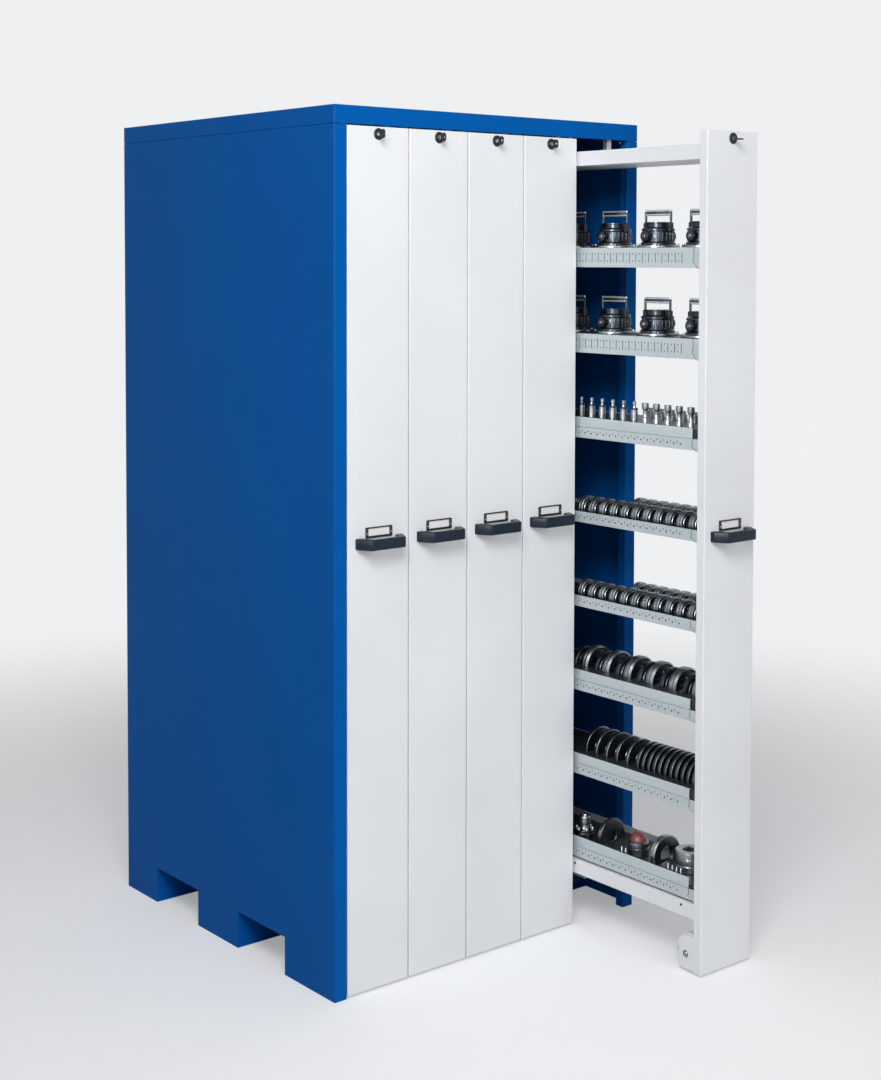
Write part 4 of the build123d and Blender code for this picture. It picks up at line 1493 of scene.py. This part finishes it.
@dataclass(frozen=True)
class LargeRings:
    """Large rings with a bright bevelled rim and a black ring behind each."""

    radius: float = 46.5 * MM
    dark_radius: float = 43 * MM
    bore: float = 24 * MM
    thick: float = 22 * MM
    dark_thick: float = 14 * MM
    count: int = 6

    def core(self) -> list[Point]:
        """Gives the dished profile of the dark middle of a bright ring.

        Returns:
            The profile.
        """
        return both_faces([
            *points_from(self.bore, 0, (0, 5), (1, 4)),
            *points_from(self.radius, 0, (-8, 4), (-6, 2.4)),
        ], self.thick)

    def rim(self) -> list[Point]:
        """Gives the profile of the bright rim, whose two edges differ.

        Returns:
            The profile.
        """
        r, t = self.radius, self.thick
        front = points_from(r, 0, (-6.5, 1.2), (-5.5, 0.4), (-4.5, 0), (0, 4.5))
        groove = points_from(r, t / 2, (0, -0.8), (-0.9, 0), (0, 0.8))
        back = points_from(r, t, (0, -3), (-3, 0), (-5.5, -0.4), (-6.5, -1.2))
        return [*front, *groove, *back, front[0]]

    def dark(self) -> list[Point]:
        """Gives the stepped profile of a black ring.

        Returns:
            The profile.
        """
        return both_faces([
            *points_from(self.bore, 0, (0, 1), (1, 0)),
            *points_from(self.dark_radius, 0, (-12, 0), (-11, 1.5), (-3, 1.5), (0, 3.5)),
        ], self.dark_thick)

    def build(self) -> None:
        """Makes the row of ring pairs."""
        span = Span.of("large_die_rings")
        x, z = span.middle.x, span.low.z
        pitch = (span.size.y - self.thick / 2 - self.dark_thick / 2) / (self.count - 0.5)
        piece = Piece("large_ring_row")
        for index in range(self.count):
            y = span.low.y + index * pitch
            place = along_y(x, y, z + self.radius)
            piece.lathe(self.rim(), place, RING_STEEL, 64)
            piece.lathe(self.core(), place, BLACK_STEEL, 64)
            spot = y + self.thick / 2 + pitch / 2 - self.dark_thick / 2
            piece.lathe(self.dark(), along_y(x, spot, z + self.dark_radius), BLACK_STEEL, 64)
        piece.done(OPEN_BODY, ["large_die_rings"])


@dataclass(frozen=True)
class ThinDiscs:
    """Thin discs on edge, close together at the front and spread behind."""

    radius: float = 49.5 * MM
    bore: float = 12 * MM
    thick: float = 9 * MM
    pitch: float = 17.7 * MM
    spread_pitch: float = 34.7 * MM
    count: int = 11
    spread: int = 5
    rim_wide: float = 2.2 * MM
    rim_thick: float = 2.6 * MM
    rim_proud: float = 0.05 * MM

    def profile(self) -> list[Point]:
        """Gives the profile of a disc with a raised rim.

        Returns:
            The profile.
        """
        return both_faces([
            *points_from(self.bore, 0, (0, 0.8), (0.8, 0), (7, 0), (8, 1.6)),
            *points_from(self.radius, 0, (-7, 1.6), (-5.5, 0), (-1.5, 0), (0, 1.5)),
        ], self.thick)

    def build(self) -> None:
        """Makes the row of discs."""
        span = Span.of("thin_discs")
        piece = Piece("thin_disc_row")
        places = [index * self.pitch for index in range(self.count)]
        places += [places[-1] + (index + 1) * self.spread_pitch for index in range(self.spread)]
        outer, bore = self.radius + self.rim_proud, self.radius - self.rim_wide
        rim = chamfered_ring(outer, bore, self.rim_thick, 0.5 * MM)
        for index, place in enumerate(places):
            spot = along_y(span.middle.x, span.low.y + place, span.low.z + self.radius)
            dark = BLACK_STEEL if index % 3 else DARK_STEEL
            piece.lathe(self.profile(), spot, dark, 64)
            bright = STEEL if index >= self.count else RING_STEEL
            piece.lathe(rim, spot @ lifted(-self.rim_proud), bright, 64)
        piece.done(OPEN_BODY, ["thin_discs"])


@dataclass(frozen=True)
class Cassettes:
    """Black tool cassettes with bails on the two highest trays."""

    flange: float = 51 * MM
    flange_thick: float = 6 * MM
    drum: float = 41 * MM
    rise: float = 54 * MM
    pitch: float = 143 * MM
    count: int = 4
    fins: int = 24
    screws: int = 4
    screw_inset: float = 5.5 * MM
    clamp: float = 13 * MM
    clamp_level: float = 27 * MM
    clamp_start: float = 35 * MM
    mark_level: float = 12.8 * MM
    bail_length: float = 86 * MM
    bail_height: float = 29 * MM
    bail_foot: float = 22 * MM
    leg: float = 3 * MM
    lug: float = 12 * MM
    bar: float = 2.6 * MM
    lower_bar_drop: float = 9 * MM
    web: float = 3 * MM

    def build(self) -> None:
        """Makes the cassettes of both trays."""
        span = Span.of("tool_cassettes")
        tall = self.flange_thick + self.rise + self.bail_height
        piece = Piece("tool_cassette_set")
        for floor in (span.low.z, span.high.z - tall):
            for index in range(self.count):
                y = span.low.y + self.flange + index * self.pitch
                self.add_cassette(piece, Vector((span.middle.x, y, floor)))
        piece.done(OPEN_BODY, ["tool_cassettes"])

    def add_cassette(self, piece: Piece, foot: Vector) -> None:
        """Adds one cassette.

        Args:
            piece: The piece that takes it.
            foot: Middle of its underside.
        """
        place = upright(*foot)
        bottom, top = self.flange_thick, self.flange_thick + self.rise
        edge = [
            *points_from(self.flange, 0, (-1, 0), (0, 1)),
            *points_from(self.flange, bottom, (0, -1.4), (-1.4, 0)),
        ]
        piece.lathe([(0, 0), *edge, (0, bottom)], place, STEEL, 64)
        drum = [
            *points_from(self.drum, bottom, (0, 0), (0, 5), (-2, 7), (-5, 8)),
            *points_from(
                self.drum, top, (-5, -22), (-2, -20), (-2, -16), (-8, -13), (-14, -12),
                (-14, -4), (-11, -3.4), (-11, -0.6), (-11.6, 0),
            ),
        ]
        piece.lathe([(0, bottom), *drum, (0, top)], place, BLACK_STEEL, 56)
        self.add_fins(piece, place)
        self.add_screws(piece, place)
        self.add_clamps(piece, foot)
        self.add_bail(piece, foot, top)

    def add_fins(self, piece: Piece, place: Matrix) -> None:
        """Adds the upright fins round the drum.

        Args:
            piece: The piece that takes them.
            place: Where the cassette's axis stands.
        """
        fin = rounded(rectangle(5 * MM, self.rise - 31 * MM), 1 * MM, 2)
        level = self.flange_thick + self.rise / 2 - 7 * MM
        spot = Matrix.Translation((self.drum - 4.5 * MM, 1 * MM, level))
        for index in range(self.fins):
            turned = Matrix.Rotation(math.tau * index / self.fins, 4, "Z")
            facing = place @ turned @ spot @ Facing.FRONT.at(0, 0, 0)
            piece.plate([fin], 2 * MM, facing, DARK_STEEL, 0.4 * MM)

    def add_screws(self, piece: Piece, place: Matrix) -> None:
        """Adds the screws in the flange.

        Args:
            piece: The piece that takes them.
            place: Where the cassette's axis stands.
        """
        reach = self.flange - self.screw_inset
        head = points_from(0, 0, (0, 3.2), (2.6, 3.2), (3.2, 2.4), (3.2, 0))
        for index in range(self.screws):
            turn = math.tau * (index + 0.5) / self.screws
            offset = (reach * math.cos(turn), reach * math.sin(turn), self.flange_thick)
            piece.lathe(head, place @ Matrix.Translation(offset), STEEL, 16)

    def add_clamps(self, piece: Piece, foot: Vector) -> None:
        """Adds the round clamp on both sides of the drum, with its marked screw.

        Args:
            piece: The piece that takes them.
            foot: Middle of the cassette's underside.
        """
        rim = points_from(self.clamp, 0, (0, 0), (0, 11), (-1, 13), (-3.5, 14))
        shell = [*rim, *points_from(0, 0, (6, 14), (5.4, 12), (0, 12))]
        screw = points_from(
            0, 0, (4.4, 12), (4.4, 14.4), (3.6, 15), (1.6, 15), (1.4, 13), (0, 13)
        )
        mark = chamfered_ring(5.4 * MM, 4.4 * MM, 1.4 * MM, 0.3 * MM)
        level = foot.z + self.clamp_level
        for side in SIDES:
            spot = outward(side, foot.x + side * self.clamp_start, foot.y, level)
            piece.lathe(shell, spot, BLACK_STEEL, 32)
            piece.lathe(screw, spot, RING_STEEL, 20)
            piece.lathe(mark, spot @ lifted(self.mark_level), RED_MARK, 24)

    def add_bail(self, piece: Piece, foot: Vector, top: float) -> None:
        """Adds the bail with its black legs and its grip of two bars and a web.

        Args:
            piece: The piece that takes it.
            foot: Middle of the cassette's underside.
            top: Height of the drum's top over it.
        """
        half = self.bail_length / 2 - self.leg
        high = self.bail_height - self.bar
        lug = rounded(rectangle(14 * MM, 22 * MM), 3 * MM)
        for side in SIDES:
            ends = (-self.bail_foot, high - 1 * MM)
            leg = [foot + Vector((0, side * half, top + z)) for z in ends]
            piece.rod(leg, self.leg, BLACK_STEEL)
            y = foot.y + side * (half - 4 * MM)
            spot = Facing.SIDE.at(foot.x - self.lug / 2, y, foot.z + top - 12 * MM)
            piece.plate([lug], self.lug, spot, BLACK_STEEL, 0.8 * MM)
        b, drop = self.bar, self.lower_bar_drop
        for level, reach in ((high, half + 1 * MM), (high - drop, half - 2 * MM)):
            profile = [(0, -reach), (b * 0.7, -reach), (b, -reach + 1 * MM),
                       (b, reach - 1 * MM), (b * 0.7, reach), (0, reach)]
            piece.lathe(profile, along_y(foot.x, foot.y, foot.z + top + level), POST_ZINC, 20)
        web = rounded(rectangle(2 * half - 6 * MM, drop), 1 * MM, 2)
        spot = Facing.SIDE.at(foot.x - self.web / 2, foot.y, foot.z + top + high - drop / 2)
        piece.plate([web], self.web, spot, DARK_STEEL, 0.4 * MM)


@dataclass(frozen=True)
class MixedTools:
    """Rings, pins, a domed punch and a turret on the lowest tray."""

    sunk: float = 31 * MM
    proud: float = 0.05 * MM
    ring_radius: float = 46 * MM
    ring_thick: float = 14 * MM
    ring_place: float = 190 * MM
    disc_radius: float = 43 * MM
    disc_thick: float = 12 * MM
    disc_place: float = 370 * MM
    flat_radius: float = 36 * MM
    flat_thick: float = 16 * MM
    flat_place: float = 110 * MM
    flats: int = 3
    pin_radius: float = 3 * MM
    pin_height: float = 24 * MM
    pin_offset: float = 60 * MM
    pin_pitch: float = 13.3 * MM
    pin_rows: tuple[tuple[float, int], ...] = ((84 * MM, 4), (260.5 * MM, 2))
    dome: float = 20 * MM
    dome_ring: float = 25 * MM
    dome_level: float = 34 * MM
    dome_place: Point = (20 * MM, 258 * MM)
    turret_place: Point = (32 * MM, 430 * MM)
    beads: int = 6
    bead_reach: float = 20 * MM
    bead_level: float = 22 * MM

    def build(self) -> None:
        """Makes the mixed tools."""
        tools, panel = Span.of("mixed_dies"), Span.of(f"front_panel_{OPEN_PULL_OUT}")
        x, face, floor = panel.middle.x, panel.low.y, tools.low.z
        top = floor + self.sunk
        piece = Piece("mixed_tool_set")
        self.add_rings(piece, x, face, floor)
        flat = chamfered_ring(self.flat_radius, 18 * MM, self.flat_thick, 1.6 * MM)
        for step in range(self.flats):
            spot = upright(x, face + self.flat_place, top + step * self.flat_thick)
            piece.lathe(flat, spot, STEEL, 56)
        for start, count in self.pin_rows:
            for index in range(count):
                y = face + start + index * self.pin_pitch
                self.add_pin(piece, upright(x - self.pin_offset, y, top))
        self.add_dome(piece, upright(x - self.dome_place[0], face + self.dome_place[1], top))
        self.add_turret(piece, upright(x - self.turret_place[0], face + self.turret_place[1], top))
        piece.done(OPEN_BODY, ["mixed_dies"])

    def add_rings(self, piece: Piece, x: float, face: float, floor: float) -> None:
        """Adds the thick ring and the disc that stand on edge, each with a bright rim.

        Args:
            piece: The piece that takes them.
            x: Middle of the tray across the cabinet.
            face: Front of the pull-out's panel.
            floor: Level that they stand on.
        """
        radius, thick = self.ring_radius, self.ring_thick
        spot = along_y(x, face + self.ring_place - thick / 2, floor + radius)
        piece.lathe(chamfered_ring(radius, 20 * MM, thick, 2.5 * MM), spot, DARK_STEEL, 56)
        band = chamfered_ring(radius + self.proud, radius - 6 * MM, thick + 0.4 * MM, 2 * MM)
        piece.lathe(band, spot @ lifted(-0.2 * MM), STEEL, 56)
        radius, thick = self.disc_radius, self.disc_thick
        spot = along_y(x, face + self.disc_place - thick / 2, floor + radius)
        piece.lathe(chamfered_ring(radius, 12 * MM, thick, 2 * MM), spot, DARK_STEEL, 64)
        band = chamfered_ring(radius + self.proud, radius - 3.5 * MM, thick - 3 * MM, 1.2 * MM)
        piece.lathe(band, spot @ lifted(1.5 * MM), STEEL, 64)

    def add_pin(self, piece: Piece, place: Matrix) -> None:
        """Adds one small bright pin.

        Args:
            piece: The piece that takes it.
            place: Where it stands.
        """
        r, tall = self.pin_radius, self.pin_height
        pin = [(0, 0), (r, 0), (r, tall * 0.7), (r * 0.8, tall * 0.74),
               (r * 0.8, tall - 1.5 * MM), (r * 0.5, tall), (0, tall)]
        piece.lathe(pin, place, STEEL, 20)

    def add_dome(self, piece: Piece, place: Matrix) -> None:
        """Adds the domed punch on its stepped ring.

        Args:
            piece: The piece that takes it.
            place: Where it stands.
        """
        r, tall, dome = self.dome_ring, self.dome_level, self.dome
        side = points_from(r, 0, (-1, 0), (0, 1), (0, 18), (-1.6, 19), (-1.6, 21), (0, 22))
        edge = points_from(r, tall, (0, -3), (-1.5, -1.4))
        ring = [(0, 0), *side, *edge, (dome + 1 * MM, tall), (0, tall)]
        piece.lathe(ring, place, RING_STEEL, 48)
        profile = arc(0, tall, dome, 0, 90, 12)
        piece.lathe([(0, tall), *profile[:-1], (0, tall + dome)], place, DOME, 40)

    def add_turret(self, piece: Piece, place: Matrix) -> None:
        """Adds the turret holder with its flange, waist, head and ring of beads.

        Args:
            piece: The piece that takes it.
            place: Where it stands.
        """
        flange = points_from(
            0, 0, (0, 0), (27, 0), (27, 14), (26, 15), (26, 17), (27, 18), (27, 21),
            (26, 22), (0, 22),
        )
        piece.lathe(flange, place, DARK_STEEL, 48)
        head = points_from(
            0, 0, (0, 22), (11, 22), (10, 24), (10, 33), (12, 36), (15, 37), (15, 51),
            (13, 54), (6, 54), (5, 51), (0, 51),
        )
        piece.lathe(head, place, STEEL, 40)
        bead = points_from(0, 0, (0, 5), (2.4, 5), (3, 4), (3, 0))
        spot = Matrix.Translation((self.bead_reach, 0, self.bead_level))
        for index in range(self.beads):
            turned = Matrix.Rotation(math.tau * index / self.beads, 4, "Z")
            piece.lathe(bead, place @ turned @ spot, POST_ZINC, 14)


@dataclass(frozen=True)
class ToolSet:
    """Everything that stands on the trays of the open pull-out."""

    kinds: tuple[type, ...] = (
        Inserts, Punches, DieRings, LargeRings, ThinDiscs, Cassettes, MixedTools,
    )

    def build(self) -> None:
        """Dresses the holders and makes the inserts and the tools."""
        dress("tool_holders", BLACK)
        for kind in self.kinds:
            kind().build()


@dataclass(frozen=True)
class Floor:
    """A round floor that fades out far from the cabinet."""

    colour: Colour = (0.64, 0.65, 0.66)
    roughness: float = 0.6
    lift: float = 0.36
    radius: float = 9.0
    fade: Point = (1.2, 3.6)

    def build(self, backdrop: Colour) -> None:
        """Makes the floor.

        Args:
            backdrop: The background's colour, which it is lifted towards.
        """
        mesh = bmesh.new()
        bmesh.ops.create_circle(mesh, cap_ends=True, segments=96, radius=self.radius)
        data = bpy.data.meshes.new("studio_floor")
        mesh.to_mesh(data)
        mesh.free()
        floor = bpy.data.objects.new("studio_floor", data)
        bpy.context.scene.collection.objects.link(floor)
        data.materials.append(self.material(backdrop))

    def material(self, backdrop: Colour) -> bpy.types.Material:
        """Makes the floor's material.

        Args:
            backdrop: The background's colour.

        Returns:
            The material.
        """
        surface = Surface("studio_floor")
        surface.dress(
            Base_Color=(*self.colour, 1), Roughness=self.roughness, Specular_IOR_Level=0.0,
            Emission_Color=(*backdrop, 1),
            Emission_Strength=surface.reckon("MULTIPLY", surface.seen_rays(), self.lift),
        )
        distance = surface.add("ShaderNodeVectorMath", operation="LENGTH")
        surface.feed(surface.place, distance.inputs[0])
        share = surface.ramp(distance.outputs["Value"], self.fade, shape="SMOOTHSTEP")
        clear = surface.add("ShaderNodeBsdfTransparent").outputs[0]
        surface.finish_with(share, surface.shader.outputs[0], clear, "Material Output")
        return surface.material


@dataclass(frozen=True)
class Lamp:
    """A square lamp that the camera doesn't see."""

    name: str
    power: float
    place: Spot
    size: float
    colour: Colour = (1.0, 1.0, 1.0)
    only_highlights: bool = False

    def build(self, aim: Spot) -> None:
        """Makes the lamp.

        Args:
            aim: The point that it looks at.
        """
        data = bpy.data.lights.new(self.name, "AREA")
        data.energy = self.power
        data.size = self.size
        data.color = self.colour
        lamp = bpy.data.objects.new(self.name, data)
        lamp.location = self.place
        towards = Vector(self.place) - Vector(aim)
        lamp.rotation_euler = towards.to_track_quat("Z", "Y").to_euler()
        lamp.visible_camera = False
        if self.only_highlights:
            lamp.visible_diffuse = False
        bpy.context.scene.collection.objects.link(lamp)


@dataclass(frozen=True)
class Camera:
    """The camera at the photograph's viewing angle."""

    place: Spot = (-2.6234, -3.4629, 1.6230)
    yaw: float = -0.68433
    pitch: float = 0.04459
    roll: float = 0.00189
    focal_pixels: float = 1729.16
    picture_height: int = 1080
    sensor: float = 36.0
    shift: Point = (0.00118, -0.19)

    def build(self) -> None:
        """Makes the camera."""
        data = bpy.data.cameras.new("camera")
        data.sensor_width = self.sensor
        data.lens = self.focal_pixels * self.sensor / self.picture_height
        data.shift_x, data.shift_y = self.shift
        camera = bpy.data.objects.new("camera", data)
        camera.location = self.place
        camera.rotation_euler = Euler((math.pi / 2 - self.pitch, -self.roll, self.yaw))
        bpy.context.scene.collection.objects.link(camera)
        bpy.context.scene.camera = camera


@dataclass(frozen=True)
class Studio:
    """Pale floor, soft light and the camera."""

    backdrop: Colour = (0.86, 0.87, 0.88)
    ambient: float = 0.24
    ambient_colour: Colour = (0.97, 0.985, 1.0)
    aim: Spot = (0.0, -0.45, 1.2)
    lamps: tuple[Lamp, ...] = (
        Lamp("key", 100.0, (-2.25, -2.7, 3.35), 1.6, colour=(1.0, 0.995, 0.985)),
        Lamp("fill", 59.0, (-0.7, -4.7, 1.75), 3.0),
        Lamp("glint", 180.0, (-3.7, -2.1, 2.0), 0.6, only_highlights=True),
    )

    def build(self) -> None:
        """Makes the studio."""
        Floor().build(self.backdrop)
        self.add_world()
        for lamp in self.lamps:
            lamp.build(self.aim)
        Camera().build()
        bpy.context.scene.view_settings.view_transform = "Standard"

    def add_world(self) -> None:
        """Lights softly from all sides and shows a pale background."""
        world = bpy.data.worlds.new("studio")
        bpy.context.scene.world = world
        world.use_nodes = True
        graph = Graph(world.node_tree)
        light = graph.tree.nodes["Background"]
        light.inputs["Color"].default_value = (*self.ambient_colour, 1)
        light.inputs["Strength"].default_value = self.ambient
        pale = graph.add("ShaderNodeBackground", Color=(*self.backdrop, 1))
        graph.finish_with(graph.seen_rays(), light.outputs[0], pale.outputs[0], "World Output")


def main() -> None:
    """Builds the whole picture."""
    logging.basicConfig(level=logging.INFO, format="%(message)s")
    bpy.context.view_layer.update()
    Shell().build()
    for number in PULL_OUTS:
        PullOut(number).build()
    ToolSet().build()
    Studio().build()


if __name__ == "__main__":
    main()
